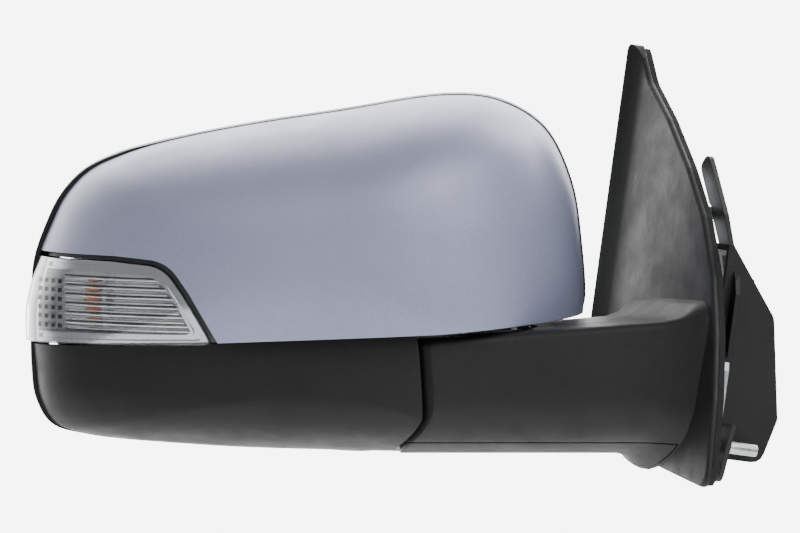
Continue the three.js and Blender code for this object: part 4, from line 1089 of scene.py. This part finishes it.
glass = wall("mirror_pane", glass_outline, glass_low.y, glass_high.y)
finish(softened(glass, 0.45, 50, 3), "glass", "mirror_face", MIRROR, "mirror_glass")

# %% [markdown]
# ## Floor and light
# The part hangs on a car door, so here it hovers over a plain pale floor. One broad soft light from the upper
# right is the key, a second fills from the left, a third lights it from behind, and the pale surroundings do
# the rest.

# %% Floor
low, high = (Vector(corner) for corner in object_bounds())
middle = (low + high) / 2
bpy.ops.object.select_all(action="DESELECT")
bpy.ops.mesh.primitive_plane_add(size=2.4, location=(middle.x, middle.y, low.z - 0.3))
floor = bpy.context.object
floor.name = "studio_floor"
FLOOR_FINISH, tree, shader = new_finish("pale floor")
tree.links.new(blend(tree, use(tree, CLOUD, 1.5), (0.93, 0.93, 0.93, 1), (0.97, 0.97, 0.97, 1)),
               shader.inputs["Base Color"])
tree.links.new(scaled(tree, use(tree, CLOUD, 8.0), 0, 1, 0.7, 0.8), shader.inputs["Roughness"])
floor.data.materials.append(FLOOR_FINISH)
floor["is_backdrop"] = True

world = bpy.context.scene.world or bpy.data.worlds.new("studio")
bpy.context.scene.world = world
world.use_nodes = True
sky = world.node_tree
split = add(sky, "ShaderNodeSeparateXYZ")
sky.links.new(add(sky, "ShaderNodeTexCoord").outputs["Generated"], split.inputs[0])
sky.nodes["Background"].inputs["Color"].default_value = (1.0, 1.0, 1.0, 1)
FRONT_GLOW, REAR_GLOW = 0.42, 7.0
sky.links.new(scaled(sky, split.outputs["Y"], 0.3, 0.9, FRONT_GLOW, REAR_GLOW),
              sky.nodes["Background"].inputs["Strength"])


def softbox(name, offset, width, power):
    """A square area light, aimed at the mirror's middle."""
    place = middle + Vector(offset)
    bpy.ops.object.light_add(type="AREA", location=place)
    lamp = bpy.context.object
    lamp.name = name
    lamp.data.size = width
    lamp.data.energy = power
    lamp.rotation_euler = (middle - place).to_track_quat("-Z", "Y").to_euler()


softbox("key", (1.0, -1.3, 1.0), 1.5, 34)
softbox("fill", (-0.9, -1.5, 1.3), 1.5, 7)
softbox("rim", (0.9, 0.8, 0.9), 0.8, 8)

# %% [markdown]
# ## Camera
# The camera is far off with a long lens, a little above the mirror's middle, so that the outlines hardly converge.
# The lens is worked out from the width of the view at the mirror.

# %% Camera
VIEW_WIDTH = 0.384
SENSOR_WIDTH = 36
ELEVATION = math.radians(3.5)
DISTANCE = 8
target = Vector((-0.1286, 0, 0.0622))
camera_place = target + DISTANCE * Vector((0, -math.cos(ELEVATION), math.sin(ELEVATION)))
bpy.ops.object.camera_add(location=camera_place)
camera = bpy.context.object
camera.data.sensor_width = SENSOR_WIDTH
camera.data.lens = SENSOR_WIDTH * DISTANCE / VIEW_WIDTH
camera.rotation_euler = (target - camera_place).to_track_quat("-Z", "Y").to_euler()
bpy.context.scene.camera = camera

# %% [markdown]
# ## Sizes
# The looks are meant to keep the part's size, so both boxes are printed side by side.

# %% Sizes, and finish
seen_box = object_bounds()
for axis, a, b in zip("XYZ", (h - l for l, h in zip(*cad_box)), (h - l for l, h in zip(*seen_box))):
    print(f"{axis}: CAD {1000 * a:.1f} mm, looks {1000 * b:.1f} mm")
